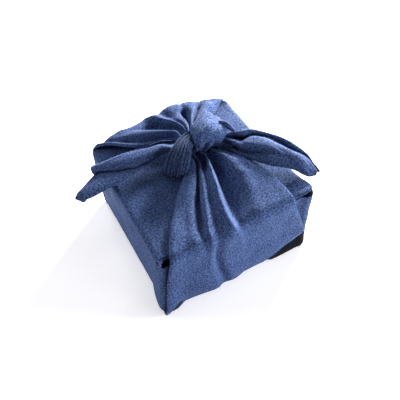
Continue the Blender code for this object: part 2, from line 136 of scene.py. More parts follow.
# The back flap's folds wander more, so each one is a line of its own: (run, x, out) from the base up.
BACK_FOLDS = (
    ((-112, -99, 0), (-104, -99.2, 1.6), (-50, -98.5, 1.2), (-15, -97.5, 1.4), (-4, -95.5, 2.5), (3, -92, 5),
     (8, -82, 7), (15, -72.5, 8.3), (23, -64, 8.9), (28, -57.6, 8.8), (35, -47, 9.1), (40, -34, 9.3),
     (44, -18.4, 9.5), (48, -4, 9.8), (56, -1, 8.4)),
    ((-112, -95.5, 0), (-104, -95.7, 2), (-50, -95, 2.4), (-15, -94, 3), (-4, -91.6, 4.5), (3, -87, 7.5),
     (8, -78, 9), (15, -69, 9.6), (23, -60.6, 10.1), (28, -54, 10.2), (35, -43, 10.5), (40, -30.5, 10.6),
     (44, -15.8, 10.8), (48, -2.4, 10.9), (56, 0, 9)),
    ((-112, -82, 0), (-104, -82, 2.4), (-50, -82, 3.4), (-15, -82, 4), (-4, -81.5, 4.6), (5, -78, 5.3),
     (13, -66, 8.1), (21, -54, 7.2), (29, -40, 7.2), (35, -26, 7.5), (40, -12, 8.1), (46, 0.6, 9.1),
     (56, 2.5, 8.9)),
    ((-112, -72, 0), (-104, -72, 3), (-50, -73, 4.6), (-15, -74, 5.5), (-4, -73.5, 7.8), (3, -71, 7.8),
     (10, -58.6, 10.6), (19, -43.8, 12.5), (28, -28, 14.7), (36, -14, 15.6), (45, 1.6, 15.7), (56, 4, 10.1)),
    ((-112, -60, 0), (-104, -60, 3), (-50, -60.5, 5), (-15, -61, 7.3), (-4, -60.5, 10.1), (0, -58, 11.7),
     (5, -46, 10.2), (14, -33.5, 13), (25, -21, 15.9), (35, -8.5, 17.3), (44, 2.6, 17.5), (56, 5.4, 10.7)),
    ((-112, -55, 0), (-104, -55, 2.8), (-50, -56, 4.4), (-15, -57, 7.3), (-4, -56.4, 10.1), (0, -53.6, 11.7),
     (5, -42.6, 9.9), (14, -30.4, 10.7), (25, -18.2, 13.5), (35, -6, 15.3), (44, 4.4, 15.8), (56, 6.6, 10.3)),
    ((-112, -46, 0), (-104, -46, 2.4), (-50, -46.5, 3.6), (-15, -47, 7.8), (-4, -44.5, 9.7), (0, -40, 10.9),
     (5, -32, 10.4), (14, -18.4, 5.2), (26, -5, 5.7), (35, 2.8, 7.2), (44, 7.6, 9.6), (56, 8, 8.9)),
    ((-112, -37, 0), (-104, -37, 2.6), (-50, -36, 4), (-15, -31, 8.4), (-4, -24.4, 12.2), (0, -20.4, 13.4),
     (5, -14.4, 9.6), (13, -6.8, 4.2), (24, 2.4, 4.4), (35, 9.6, 6.4), (44, 13, 9.2), (56, 9.6, 9.4)),
    ((-112, -27, 0), (-104, -27, 2.8), (-50, -26, 5.6), (-15, -21, 10.4), (-4, -15.5, 14), (0, -12, 16),
     (5, -6.5, 15.8), (13, 0.5, 16.4), (24, 7, 18.6), (35, 12.8, 18.8), (44, 15.2, 17.8), (56, 11, 10.5)),
    ((-112, -10, 0), (-104, -10, 2.6), (-50, -9, 4.4), (-15, -8, 8.9), (-4, -3, 11.6), (0, 1, 13.4),
     (5, 4.4, 13), (10, 7.6, 13), (20, 11.4, 13.6), (30, 14.8, 14.6), (39, 17, 14.2), (47, 15.8, 13.2),
     (56, 12.4, 9.9)),
    ((-112, 8, 0), (-104, 8, 3), (-50, 8, 6), (-15, 9.5, 11), (-4, 11.5, 15.7), (0, 12.6, 18.4),
     (5, 14.4, 15.8), (14, 17.2, 14.1), (29, 18, 18.3), (38, 19.2, 18.3), (44, 18, 17.6), (56, 14, 10.9)),
    ((-112, 24, 0), (-104, 24, 3), (-50, 24, 6.2), (-15, 25.5, 11.8), (-4, 26.6, 16.2), (0, 26.6, 18.8),
     (5, 25.8, 15.9), (10, 24.4, 13.8), (23, 23, 16.7), (33, 23, 18), (39, 22.4, 17.3), (46, 19.4, 16.8),
     (56, 15.4, 10.7)),
    ((-112, 28, 0), (-104, 28, 3), (-50, 28, 5.6), (-15, 28.5, 11.4), (-4, 29.4, 15.6), (0, 29.4, 18.1),
     (5, 28.2, 15.4), (10, 26.6, 10.4), (23, 25, 13.3), (33, 24.6, 15.1), (39, 23.6, 15.3), (46, 20.4, 15.5),
     (56, 16.4, 10.1)),
    ((-112, 38, 0), (-104, 38, 2.6), (-50, 37.5, 4), (-15, 36.5, 10.1), (-4, 35.8, 12.8), (0, 35, 15),
     (5, 33.6, 12.6), (13, 31.4, 1.5), (24, 28.6, 2.5), (33, 26.6, 4.3), (39, 24.9, 7), (46, 21.4, 10),
     (56, 17.4, 9.3)),
    ((-112, 43, 0), (-104, 43, 2.7), (-50, 42, 4.6), (-15, 40.5, 9.5), (-4, 40.4, 13.2), (0, 39.8, 15.5),
     (5, 38.8, 13), (10, 37, 9.7), (19, 34.2, 10), (27, 31, 10.7), (34, 28.2, 11.9), (40, 26, 14),
     (47, 22.6, 14.9), (56, 18.6, 10.1)),
    ((-112, 50, 0), (-104, 50, 2.8), (-50, 49, 5.6), (-15, 47, 8.6), (-4, 45.6, 12.1), (0, 45, 14.3),
     (5, 44.2, 11.8), (15, 41.6, 14.1), (23, 37.2, 15.8), (29, 33.6, 16.5), (35, 30, 16.4), (42, 26.6, 16),
     (48, 23.6, 15.3), (56, 20, 10.7)),
    ((-112, 56, 0), (-104, 56, 2.7), (-50, 55.5, 5), (-15, 54.5, 7.5), (-4, 54, 10.5), (0, 53.6, 12.3),
     (6, 51.2, 10.3), (14, 46.8, 12), (20, 42, 13), (26, 37, 14.1), (33, 32.4, 15.1), (40, 28.4, 15.2),
     (48, 25, 14.8), (56, 21.4, 10.3)),
    ((-112, 62, 0), (-104, 62, 2.4), (-50, 61, 3.8), (-15, 60.5, 6.6), (-4, 60.5, 8.3), (0, 60, 9.7),
     (4, 58, 8.3), (8, 55, 4.6), (12, 51.2, 2.4), (18, 45.8, 2.5), (25, 39.4, 4), (33, 34.2, 6.9),
     (40, 30, 9.6), (48, 26.6, 10.4), (56, 22.8, 9.3)),
    ((-112, 67, 0), (-104, 67, 2.6), (-50, 66.5, 4.2), (-15, 66, 6), (-4, 66.5, 8.2), (0, 66.4, 9.6),
     (5, 65, 7.5), (15, 57, 12), (20, 52, 13), (26, 45.4, 14.2), (33, 39, 15.4), (40, 33.4, 15.4),
     (48, 28.6, 14.7), (56, 24.4, 10.1)),
    ((-112, 78, 0), (-104, 78, 2.6), (-50, 77, 4.4), (-15, 76, 5), (-4, 76.5, 6.7), (0, 77, 7.7),
     (5, 77, 5.6), (12, 72, 10), (22, 60, 12.3), (31, 48, 14.6), (40, 37.4, 15.1), (48, 31, 14.8),
     (56, 25.8, 10.1)),
    ((-112, 97, 0), (-104, 97, 1.8), (-50, 97, 1.8), (-15, 96.2, 2), (-4, 95, 2.4), (4, 93.6, 2.4),
     (12, 82, 2.6), (22, 70, 3.2), (31, 55.5, 3.8), (38, 43.4, 3.9), (44, 36.4, 8.1), (56, 27.2, 6.5)),
    ((-112, 99.5, 0), (-104, 99.6, 1.4), (-50, 99, 1.2), (-15, 98, 1.2), (-4, 97.2, 1.2), (4, 95.8, 1.2),
     (12, 84.4, 1.4), (22, 72.6, 2), (31, 58, 2.6), (38, 46, 2.7), (44, 38.6, 7.5), (56, 28.2, 6.2)),
)
BACK_TUCK = ((-112, 3), (-80, 10), (0, 12), (22, 10), (38, 6), (56, 2))

# ---------------------------------------------------------------- the knot
# A tied end in the knot: (x, y, z, width, thickness, heading of its width in degrees, squareness).
FIRST_LOOP = (
    (13.0, 6.0, 111.5, 24.0, 8.0, -6.0, 2.6),
    (15.0, 15.0, 112.2, 24.0, 9.0, -16.0, 2.4),
    (27.0, 29.0, 113.4, 26.0, 10.0, -30.0, 2.2),
    (40.0, 39.0, 117.0, 28.0, 11.0, -38.0, 2.2),
    (46.0, 41.5, 124.0, 29.0, 12.0, -40.0, 2.2),
    (42.0, 36.0, 131.5, 31.0, 13.0, -40.0, 2.1),
    (34.0, 27.5, 135.0, 32.0, 13.5, -39.0, 2.1),
    (26.0, 20.5, 133.5, 30.0, 13.0, -35.0, 2.1),
    (19.0, 16.5, 128.5, 25.0, 11.0, -27.0, 2.1),
    (14.0, 16.0, 122.5, 20.0, 8.5, -22.0, 2.1),
    (9.0, 17.5, 118.0, 17.0, 7.0, -30.0, 2.2),
    (-4.0, 18.0, 115.6, 16.0, 6.0, -60.0, 2.2),
)
SECOND_LOOP = (
    (13.0, 52.0, 111.0, 26.0, 8.0, 0.0, 2.6),
    (9.0, 42.0, 112.0, 27.0, 10.0, -18.0, 2.4),
    (-6.0, 26.0, 111.4, 26.0, 9.0, -42.0, 2.2),
    (-20.0, 12.0, 110.8, 26.0, 8.5, -42.0, 2.2),
    (-28.0, 1.5, 113.0, 27.0, 9.0, -42.0, 2.2),
    (-27.0, -1.0, 119.0, 29.0, 11.5, -42.0, 2.2),
    (-20.5, 4.5, 126.0, 30.0, 13.0, -44.0, 2.1),
    (-12.0, 12.5, 130.5, 26.0, 13.5, -50.0, 2.1),
    (-3.0, 20.5, 132.0, 22.0, 13.0, -58.0, 2.1),
    (7.0, 26.0, 130.5, 22.0, 13.5, -66.0, 2.2),
    (21.0, 26.0, 127.0, 26.0, 15.0, -84.0, 2.2),
    (35.0, 20.0, 123.5, 24.0, 13.0, -108.0, 2.2),
    (47.0, 12.0, 121.0, 20.0, 9.0, -122.0, 2.2),
    (56.0, 2.0, 119.5, 16.0, 6.0, -124.0, 2.2),
)
# Pleats pressed into a tied end: place across it at the start and at the end of the run (-1 to 1),
# depth, and width as a share of the band.
FIRST_PLEATS = ((-0.78, -0.60, 1.6, 0.06), (-0.50, -0.30, 1.3, 0.07), (-0.22, -0.02, 1.8, 0.05),
                (0.10, 0.24, 1.2, 0.08), (0.34, 0.50, 1.7, 0.05), (0.66, 0.74, 1.2, 0.07))
SECOND_PLEATS = ((-0.70, -0.52, 1.8, 0.07), (-0.40, -0.26, 1.4, 0.08), (-0.10, 0.02, 2.0, 0.06),
                 (0.20, 0.30, 1.5, 0.08), (0.52, 0.50, 1.8, 0.06), (0.78, 0.72, 1.2, 0.06))

# The ears, as nets of fold lines from the knot to the hem: each row goes across the ear, from its
# turned-under back edge, over its folds, to its turned-under front edge.
LEFT_EAR = (
    ((12.6, 42.6, 117), (11.5, 40.1, 121), (10.2, 37.7, 120), (8.3, 34.2, 121), (2.8, 28.1, 121),
     (0, 25.4, 119), (-1, 26.1, 116), (-2.1, 26.3, 115), (-2.7, 26.3, 115), (-3.5, 25.7, 115.5),
     (-4.4, 25.2, 116), (-5.1, 24.9, 116), (-5.4, 25.6, 115), (-4.6, 28.4, 113)),
    ((-4.8, 42.9, 119), (-5.7, 40.1, 125), (-7.2, 39.8, 121), (-10.6, 33.5, 124), (-15.2, 28.6, 123.5),
     (-17.5, 28.2, 120), (-15.2, 31.1, 116.5), (-16.5, 31.9, 116), (-17.1, 31.1, 116.5),
     (-17.7, 30.4, 117), (-18.3, 29.5, 117.5), (-18.7, 29.1, 117.5), (-18.8, 29.6, 116.5),
     (-16.8, 33, 114)),
    ((-21, 49.8, 120), (-22.3, 45.6, 127), (-22.7, 45.7, 123), (-26, 38, 127), (-30.3, 32.1, 125.5),
     (-34.1, 28.6, 121.5), (-31.5, 32.6, 117), (-33.3, 32.6, 116.5), (-33.9, 32.1, 117),
     (-34.6, 31.6, 117.5), (-35.2, 31.1, 118), (-35.8, 30.9, 118), (-36, 31.6, 116.8),
     (-33.6, 34.8, 114)),
    ((-37.4, 50, 121), (-38.2, 48.2, 126.5), (-39.3, 46.9, 124.5), (-41.8, 41.6, 127),
     (-46.5, 33.1, 126), (-51.1, 28, 121.5), (-47.3, 32.9, 116.5), (-50.1, 31.9, 116),
     (-51.2, 30.9, 116.8), (-52.2, 29.8, 117.6), (-53.3, 28.8, 118.2), (-54, 28.3, 118.2),
     (-54.5, 28.6, 116.7), (-51.8, 32.9, 113.5)),
    ((-54, 51.2, 120), (-54.3, 50.1, 125), (-55, 49.2, 124.6), (-56.2, 46.7, 125.6),
     (-61.4, 35.5, 125.4), (-65.6, 29.3, 120), (-61.1, 34.8, 115), (-65.4, 32.6, 115),
     (-67, 30.5, 116.2), (-68.6, 28.3, 117.4), (-70.3, 26.3, 118), (-71.6, 25, 117.8),
     (-73.1, 23.6, 116), (-70.4, 27.8, 113)),
    ((-69.2, 55.4, 118.5), (-69.9, 53.2, 123), (-70.3, 52.5, 123.2), (-70.9, 51, 123.9),
     (-75.6, 40.8, 123.4), (-79.2, 35.7, 118), (-74.4, 41.9, 112.5), (-79.6, 38.6, 113.4),
     (-81.8, 35, 115), (-84, 31.3, 116.4), (-86.3, 27.8, 117), (-88.6, 24.5, 116.6),
     (-92.3, 19.5, 114), (-89.2, 24, 111)),
    ((-85.2, 58, 116), (-85.5, 56.3, 120.5), (-85.9, 55.5, 120.7), (-86.5, 54, 121.4),
     (-90, 46.4, 120.8), (-92.7, 42.7, 115.8), (-87.9, 48.6, 110.5), (-94.1, 44.9, 111.8),
     (-97, 40.9, 113.4), (-99.8, 36.6, 114.6), (-102.5, 32.3, 115.2), (-105.3, 28.3, 114.6),
     (-110.1, 20.6, 111.6), (-106.9, 25.1, 109)),
    ((-97.9, 60.3, 113.5), (-98.1, 58.8, 117.8), (-98.5, 58.1, 118), (-99, 56.7, 118.6),
     (-101.3, 51.9, 118.2), (-102.7, 49.8, 114), (-98.4, 54.1, 109), (-106.3, 50.5, 110.4),
     (-110.2, 45.2, 112), (-113.9, 40, 113), (-117.5, 35, 113.4), (-121.4, 29.1, 112.6),
     (-126.5, 20.5, 109.4), (-123.3, 24.4, 107.6)),
    ((-106.3, 62.1, 112), (-106.5, 60.4, 116.5), (-106.8, 59.8, 116.7), (-107.2, 58.7, 117),
     (-109, 55.5, 116.6), (-109.9, 53.3, 112.6), (-106.4, 55.4, 108.6), (-115.9, 49.2, 109.4),
     (-120.3, 44.7, 110.6), (-125.6, 39.3, 111.2), (-130.5, 34, 111.2), (-133.8, 27.9, 110.4),
     (-135.8, 22, 107.8), (-132.7, 24.2, 106.6)),
    ((-111.1, 62.1, 111.6), (-111.4, 60, 115.2), (-112, 59.2, 115.4), (-112.5, 58.1, 115.5),
     (-113.5, 55.4, 115), (-113.4, 52.6, 111.6), (-110.9, 53.6, 108.4), (-119.3, 47.3, 109),
     (-124.6, 43.7, 109.6), (-132.1, 39.5, 109.2), (-144.9, 31.1, 107), (-142.3, 26, 106.8),
     (-138.2, 20.5, 106.6), (-135.5, 21.2, 106)),
)
RIGHT_EAR = (
    ((43.7, 19.9, 118), (43.5, 19.4, 124), (42.6, 18, 123), (43.4, 19.3, 119), (41, 15.2, 121),
     (40.6, 14.6, 120), (40.8, 15.1, 116), (38.8, 11.6, 116.5), (37.6, 9.5, 114.5), (39.7, 13.1, 113)),
    ((54, 15.1, 122), (53.6, 14.6, 128), (52.5, 12.7, 127), (54.5, 15.9, 120), (49.4, 7.5, 126),
     (48.5, 6, 125), (50, 8.5, 116), (46.9, 3.4, 117.5), (45.3, 0.6, 115.5), (47.9, 5, 113)),
    ((62.9, 11.8, 123.3), (62.5, 11.3, 129.3), (60.4, 7.9, 128), (62.2, 10.5, 118.5), (54.5, -1.7, 127),
     (53.2, -3.8, 126), (54.9, -1.4, 115.5), (51, -7.6, 118), (50, -9.3, 115.5), (53, -4.6, 113)),
    ((71.6, 8.1, 124), (71.1, 7.7, 130), (67.5, 1.9, 129), (69, 3.7, 119), (60.1, -9.9, 127.6),
     (57.8, -13.5, 127), (59.1, -12, 116.5), (55.5, -17.7, 118.8), (54.4, -19.6, 116),
     (57.7, -14.6, 113.2)),
    ((80.6, 3.8, 124.3), (80, 3.3, 130.3), (78, 0.2, 129.6), (78.9, 1.1, 124), (72.8, -8, 129.4),
     (65.3, -19.6, 129), (65.2, -20.6, 118), (61.4, -26.3, 119.8), (60, -28.8, 116.3), (63.6, -23.5, 113)),
    ((91, -5.3, 123.6), (90.3, -5.7, 129.6), (88.6, -8.4, 128.6), (90, -7, 122.4), (82.4, -17.5, 130),
     (74.6, -29.3, 129.8), (75.4, -29.2, 120.4), (71.3, -35.2, 121.6), (68.4, -40.1, 116.2),
     (72.5, -34.4, 112.6)),
    ((99, -13.6, 122.6), (98.2, -13.8, 128.6), (96.6, -16.4, 127.4), (98.4, -14.6, 121),
     (90.3, -25.3, 129.4), (83.9, -34.8, 128.6), (82.6, -37.4, 123.4), (78.9, -42.9, 122.6),
     (75.5, -48.8, 116), (80.1, -42.6, 112)),
    ((106.7, -22, 121.2), (105.9, -22.2, 127.2), (104, -25.2, 126), (104.6, -25.3, 119.5),
     (95.9, -36.4, 127.8), (91.5, -42.7, 127.4), (89.5, -46.2, 124), (86.8, -50.5, 121),
     (83.5, -55.9, 115.6), (88.3, -49.8, 111.5)),
    ((113.2, -32.3, 119), (112.3, -32.5, 125), (109.8, -36.2, 123.6), (110.1, -36.8, 117.8),
     (102, -46.8, 125.4), (98.1, -52.3, 124.8), (96.6, -54.8, 122), (94.6, -58.2, 119.2),
     (92, -62.6, 114.2), (96.1, -57.5, 110.8)),
    ((118.4, -42.2, 116.4), (117.5, -42.3, 122.4), (114.8, -46.2, 121), (114.7, -47.1, 117),
     (108.6, -54.3, 122.6), (104.9, -59.5, 122), (103.1, -62.4, 119.8), (101.2, -65.5, 117),
     (98.5, -70.1, 112.6), (102.2, -65.5, 109.8)),
    ((122.4, -51.7, 113.4), (121.5, -51.6, 119.4), (119.7, -54.2, 118.4), (119.8, -54.6, 116),
     (115.6, -59.5, 119.4), (111.5, -65.1, 119), (108.9, -69, 117), (106.1, -73.2, 114.4),
     (103.1, -78, 110.6), (106.6, -73.9, 108.4)),
    ((124.8, -61.2, 110.4), (123.8, -61.1, 116.4), (122.5, -62.9, 115.6), (122.4, -63.4, 114),
     (119.6, -66.7, 116), (116.3, -71.2, 115.6), (113.4, -75.3, 114), (110.7, -79.4, 111.6),
     (108.6, -82.8, 108.8), (111.7, -79.2, 107)),
    ((125.2, -71.3, 106.6), (124.3, -71.1, 112.6), (123.1, -72.7, 112.2), (123, -73.1, 111.2),
     (121.7, -74.5, 112.2), (119.5, -77.5, 112), (117.6, -80.2, 111), (116, -82.7, 109.6),
     (114.9, -84.4, 108), (117.2, -81.8, 106.6)),
    ((125.3, -81.2, 105.4), (124.7, -82.9, 108), (123.9, -82.4, 107.8), (123.6, -81.4, 107.6),
     (123.8, -78.6, 109.5), (122.4, -80.7, 109.4), (121.2, -82.2, 109), (119.6, -83.2, 108.4),
     (118.2, -83.8, 107.6), (119.7, -81.7, 106.2)),
)
# The band over the knot, from its foot behind, over the top and down in front; across from left to right.
BAND = (
    ((49.4, 57.2, 106.5), (46, 59.5, 107), (46.6, 58.9, 107.5), (48.2, 53.5, 107.8), (50, 46.6, 108),
     (52.6, 41, 108), (54.8, 35.8, 107.8), (56.8, 31.5, 107.5), (57.8, 27.2, 107), (58.8, 26.6, 106.4),
     (55, 27.6, 105.5)),
    ((50.1, 58, 109), (46.3, 60.5, 114), (46.6, 59.5, 118), (48.2, 54, 119.5), (50.1, 47, 120.5),
     (52.9, 41.3, 120.5), (55.2, 36, 119.5), (57.4, 31.6, 117.5), (58.5, 26.9, 114), (59.9, 26.3, 109.8),
     (55.5, 27.5, 105)),
    ((51.7, 60.4, 117), (47.9, 62.9, 122), (48.2, 61.9, 126), (49.8, 56.4, 127.5), (51.7, 49.4, 128.5),
     (54.5, 43.7, 128.5), (56.8, 38.4, 127.5), (59, 34, 125.5), (60.1, 29.3, 122), (61.5, 28.7, 117.8),
     (57.1, 29.9, 113)),
    ((50.9, 59.6, 123), (47.1, 62.1, 128), (47.4, 61.1, 132), (49, 55.6, 133.5), (50.9, 48.6, 134.5),
     (53.7, 42.9, 134.5), (56, 37.6, 133.5), (58.2, 33.2, 131.5), (59.3, 28.5, 128), (60.7, 27.9, 123.8),
     (56.3, 29.1, 119)),
    ((49.1, 57, 127), (45.3, 59.5, 132), (45.6, 58.5, 136), (47.2, 53, 137.5), (49.1, 46, 138.5),
     (51.9, 40.3, 138.5), (54.2, 35, 137.5), (56.4, 30.6, 135.5), (57.5, 25.9, 132), (58.9, 25.3, 127.8),
     (54.5, 26.5, 123)),
    ((38.6, 48.9, 129), (34.8, 51.4, 134), (35.1, 50.4, 138), (37.4, 44.1, 141), (39.7, 37.1, 142.6),
     (42.2, 30.5, 142.8), (45, 25.1, 141.4), (48.7, 20.8, 138.4), (52.8, 16.6, 133.5), (54.2, 16, 129.3),
     (49.8, 17.2, 124.5)),
    ((28.5, 41.4, 129.5), (24.7, 43.9, 134.5), (25, 42.9, 138.5), (26.8, 34.2, 143), (28.7, 25.9, 145.6),
     (31.3, 19.3, 145.6), (34.9, 14.9, 143.4), (39.8, 12, 139.4), (46.6, 10.6, 133), (48, 10, 128.8),
     (43.6, 11.2, 124)),
    ((19.9, 37.8, 127.5), (16.1, 40.3, 132.5), (16.4, 39.3, 136.5), (17.4, 27.3, 141.8),
     (19.2, 17.9, 144.8), (22.5, 12.7, 144.4), (27.1, 9.7, 141.6), (33.2, 8.8, 137), (39.5, 8.3, 131),
     (40.9, 7.7, 126.8), (36.5, 8.9, 122)),
    ((14.3, 32.1, 123), (10.5, 34.6, 128), (10.8, 33.6, 132), (10.3, 20.8, 137.6), (12.4, 13.4, 140),
     (16.2, 10, 139.2), (21.2, 8.8, 136.4), (27.4, 9.1, 132.4), (33.8, 9.7, 128), (35.2, 9.1, 123.8),
     (30.8, 10.3, 119)),
    ((10, 25, 117.5), (6.2, 27.5, 122.5), (6.5, 26.5, 126.5), (5.5, 15.6, 131), (8, 10.7, 132.2),
     (12.3, 9.5, 131), (17.1, 9.8, 129), (22.4, 11, 126.6), (29.2, 13.7, 123.6), (30.6, 13.1, 119.4),
     (26.2, 14.3, 114.6)),
    ((5.8, 20.2, 115.5), (4, 21.5, 118), (4.1, 21, 120), (4.9, 15.1, 121.5), (7.6, 12.3, 122),
     (11.7, 11.7, 121.6), (16.4, 12.6, 120.8), (21.6, 14.5, 119.6), (27.6, 17.6, 118), (28.3, 17.3, 115.9),
     (26.1, 17.9, 113.5)),
    ((10.6, 24, 109.5), (8.6, 25.2, 112), (8.8, 24.7, 114), (10.5, 22.5, 114), (13, 20.9, 114),
     (16.5, 20.5, 114), (20.3, 20.6, 114), (24.3, 21.5, 114), (27.6, 22.4, 114), (28.3, 22.1, 111.9),
     (26.1, 22.7, 109.5)),
)
# Pleats along the band: share of its width at the back and at the front, depth and width.
BAND_PLEATS = ((0.20, 0.24, 0.7, 0.016), (0.31, 0.33, 1.1, 0.018), (0.41, 0.40, 0.8, 0.014),
               (0.50, 0.47, 1.3, 0.020), (0.60, 0.55, 0.8, 0.015), (0.68, 0.63, 1.2, 0.018),
               (0.79, 0.72, 0.9, 0.016))
# A small fold that stands out between the band and the right ear.
SIDE_FOLD = (
    (49.9, 27.7, 137, 7.0, 6.0, -40.0, 2.0),
    (55.1, 21.9, 136.5, 8.0, 6.5, -40.0, 2.0),
    (59.6, 17.3, 132, 7.0, 6.0, -40.0, 2.0),
    (64.2, 15.3, 127, 4.5, 4.0, -40.0, 2.0),
)


# ---------------------------------------------------------------- curves and grids
def on_curve(t, h, start, end, start_lean, end_lean):
    """The point at share t of a cubic span of length h between two points with given slopes."""
    return ((1 + 2 * t) * (1 - t) ** 2 * start + t * (1 - t) ** 2 * h * start_lean
            + t * t * (3 - 2 * t) * end + t * t * (t - 1) * h * end_lean)


def through(keys, values, at):
    """Values at new keys, on a smooth curve that never swings past its points."""
    keys, at = np.asarray(keys, float), np.asarray(at, float)
    values = np.asarray(values, float)
    step = np.diff(keys).reshape((-1,) + (1,) * (values.ndim - 1))
    slope = np.diff(values, axis=0) / step
    lean = np.zeros_like(values)
    same = slope[1:] * slope[:-1] > 0
    total = np.where(same, slope[1:] + slope[:-1], 1.0)
    lean[1:-1] = np.where(same, 2 * slope[1:] * slope[:-1] / total, 0.0)
    lean[0], lean[-1] = slope[0], slope[-1]
    i = np.clip(np.searchsorted(keys, at, side="right") - 1, 0, len(keys) - 2)
    h = step[i]
    t = ((at - keys[i]) / (keys[i + 1] - keys[i])).reshape((-1,) + (1,) * (values.ndim - 1)).clip(0, 1)
    return on_curve(t, h, values[i], values[i + 1], lean[i], lean[i + 1])


def finer(net, counts):
    """Points between the fold lines of each row: counts[i] steps between line i and the next."""
    gap = np.linalg.norm(np.diff(net, axis=1), axis=2).clip(0.05) ** 0.5
    key = np.concatenate([np.zeros((len(net), 1)), np.cumsum(gap, axis=1)], axis=1)[..., None]
    slope = np.diff(net, axis=1) / np.diff(key, axis=1)
    lean = np.zeros_like(net)
    lean[:, 0], lean[:, -1] = slope[:, 0], slope[:, -1]
    before, after = np.diff(key, axis=1)[:, :-1], np.diff(key, axis=1)[:, 1:]
    lean[:, 1:-1] = (slope[:, :-1] * after + slope[:, 1:] * before) / (before + after)
    out = []
    for i, count in enumerate(counts):
        h = key[:, i + 1] - key[:, i]
        for k in range(count):
            out.append(on_curve(k / count, h, net[:, i], net[:, i + 1], lean[:, i], lean[:, i + 1]))
    out.append(net[:, -1])
    return np.stack(out, axis=1)


def steps_for(net, size):
    """How many steps of about one size each gap between fold lines needs."""
    gaps = np.percentile(np.linalg.norm(np.diff(net, axis=1), axis=2), 75, axis=0)
    return [max(2, int(round(g / size))) for g in gaps]


def eased(grid):
    """A grid with each inner point drawn towards its neighbours."""
    grid = grid.copy()
    mean = (grid[:-2, 1:-1] + grid[2:, 1:-1] + grid[1:-1, :-2] + grid[1:-1, 2:]) / 4
    grid[1:-1, 1:-1] += EASE * (mean - grid[1:-1, 1:-1])
    return grid


def walked(points, axis):
    """Distance walked along one axis of a grid of points."""
    length = np.linalg.norm(np.diff(points, axis=axis), axis=-1)
    zero = np.zeros_like(np.take(length, [0], axis=axis))
    return np.concatenate([zero, np.cumsum(length, axis=axis)], axis=axis)


def ripple(u, v, seed, longest, shortest, waves=18):
    """A smooth uneven field of about unit height, with a fixed seed."""
    rng = np.random.default_rng(seed)
    total = np.zeros_like(u)
    for _ in range(waves):
        length = shortest * (longest / shortest) ** rng.random()
        angle, shift = rng.random(2) * 2 * math.pi
        total += np.sin(2 * math.pi * (u * math.cos(angle) + v * math.sin(angle)) / length + shift)
    return total / math.sqrt(waves / 2)


def smoothstep(a, b, x):
    """0 below a, 1 above b, and an S-curve between."""
    t = np.clip((x - a) / (b - a), 0, 1)
    return t * t * (3 - 2 * t)


# ---------------------------------------------------------------- shells of cloth
shells = []
stitch_lines = []


def stitch_along(line, outward):
    """A row of hem stitches along a line of the cloth, lying on its outer side."""
    stitch_lines.append(line + outward * ((SHEET + HEM_SWELL) / 2))


def grid_faces(rows, columns, start):
    """The four-sided faces of a grid whose first vertex is start."""
    a = start + np.arange(rows - 1)[:, None] * columns + np.arange(columns - 1)[None, :]
    return np.stack([a, a + 1, a + columns + 1, a + columns], axis=-1).reshape(-1, 4)


def add_sheet(points, cloth, hem=None, shade_paint=None):
    """A sheet of cloth through a grid of points, with its thickness, closed edges and painted shade."""
    rows, columns = points.shape[:2]
    hem = np.full((rows, columns), NO_HEM) if hem is None else hem
    shade_paint = np.zeros((rows, columns)) if shade_paint is None else np.broadcast_to(shade_paint, (rows, columns))
    along_rows, along_columns = np.gradient(points, axis=0), np.gradient(points, axis=1)
    normal = np.cross(along_columns, along_rows)
    normal /= np.linalg.norm(normal, axis=-1, keepdims=True).clip(1e-9)
    half = (SHEET + HEM_SWELL * (1 - smoothstep(HEM_WIDTH - 1.2, HEM_WIDTH, hem))) / 2
    upper, lower = points + normal * half[..., None], points - normal * half[..., None]
    count = rows * columns
    top = grid_faces(rows, columns, 0)
    bottom = grid_faces(rows, columns, count)[:, ::-1]
    index = np.arange(count).reshape(rows, columns)
    rim = np.concatenate([index[0, :], index[1:, -1], index[-1, -2::-1], index[-2:0:-1, 0]])
    following = np.roll(rim, -1)
    sides = np.stack([following, rim, rim + count, following + count], axis=-1)
    faces = np.concatenate([top, bottom, sides])
    flat = cloth.reshape(-1, 2)
    both = np.concatenate([flat, flat])
    shells.append((np.concatenate([upper.reshape(-1, 3), lower.reshape(-1, 3)]), faces, both[faces],
                   np.tile(shade_paint.reshape(-1), 2)))


def add_tube(rings, cloth, shade_paint=0.0):
    """A closed body through rings of points, capped at both ends, with one painted shade value."""
    rows, columns = rings.shape[:2]
    index = np.arange(rows * columns).reshape(rows, columns)
    wrap = np.concatenate([index, index[:, :1]], axis=1)
    faces = np.stack([wrap[:-1, :-1], wrap[:-1, 1:], wrap[1:, 1:], wrap[1:, :-1]], axis=-1).reshape(-1, 4)
    corner = np.stack([cloth[:-1, :-1], cloth[:-1, 1:], cloth[1:, 1:], cloth[1:, :-1]], axis=2)
    corner = corner.reshape(-1, 4, 2)
    points = [rings.reshape(-1, 3)]
    for row, flip in ((0, True), (rows - 1, False)):
        middle = rows * columns + (0 if flip else 1)
        points.append(rings[row].mean(axis=0)[None])
        a, b = index[row], np.roll(index[row], -1)
        fan = np.stack([b, a, np.full(columns, middle), np.full(columns, middle)] if flip else
                       [a, b, np.full(columns, middle), np.full(columns, middle)], axis=-1)
        faces = np.concatenate([faces, fan])
        corner = np.concatenate([corner, np.repeat(cloth[row, :-1][:, None], 4, axis=1)])
    shells.append((np.concatenate(points), faces, corner, np.full(rows * columns + 2, shade_paint)))


def tube_cloth(start, along, around):
    """Flat-cloth coordinates of a tube: distance along it, and distance round it."""
    return np.stack([np.repeat((start + along)[:, None], around.shape[1], 1), around], axis=-1)


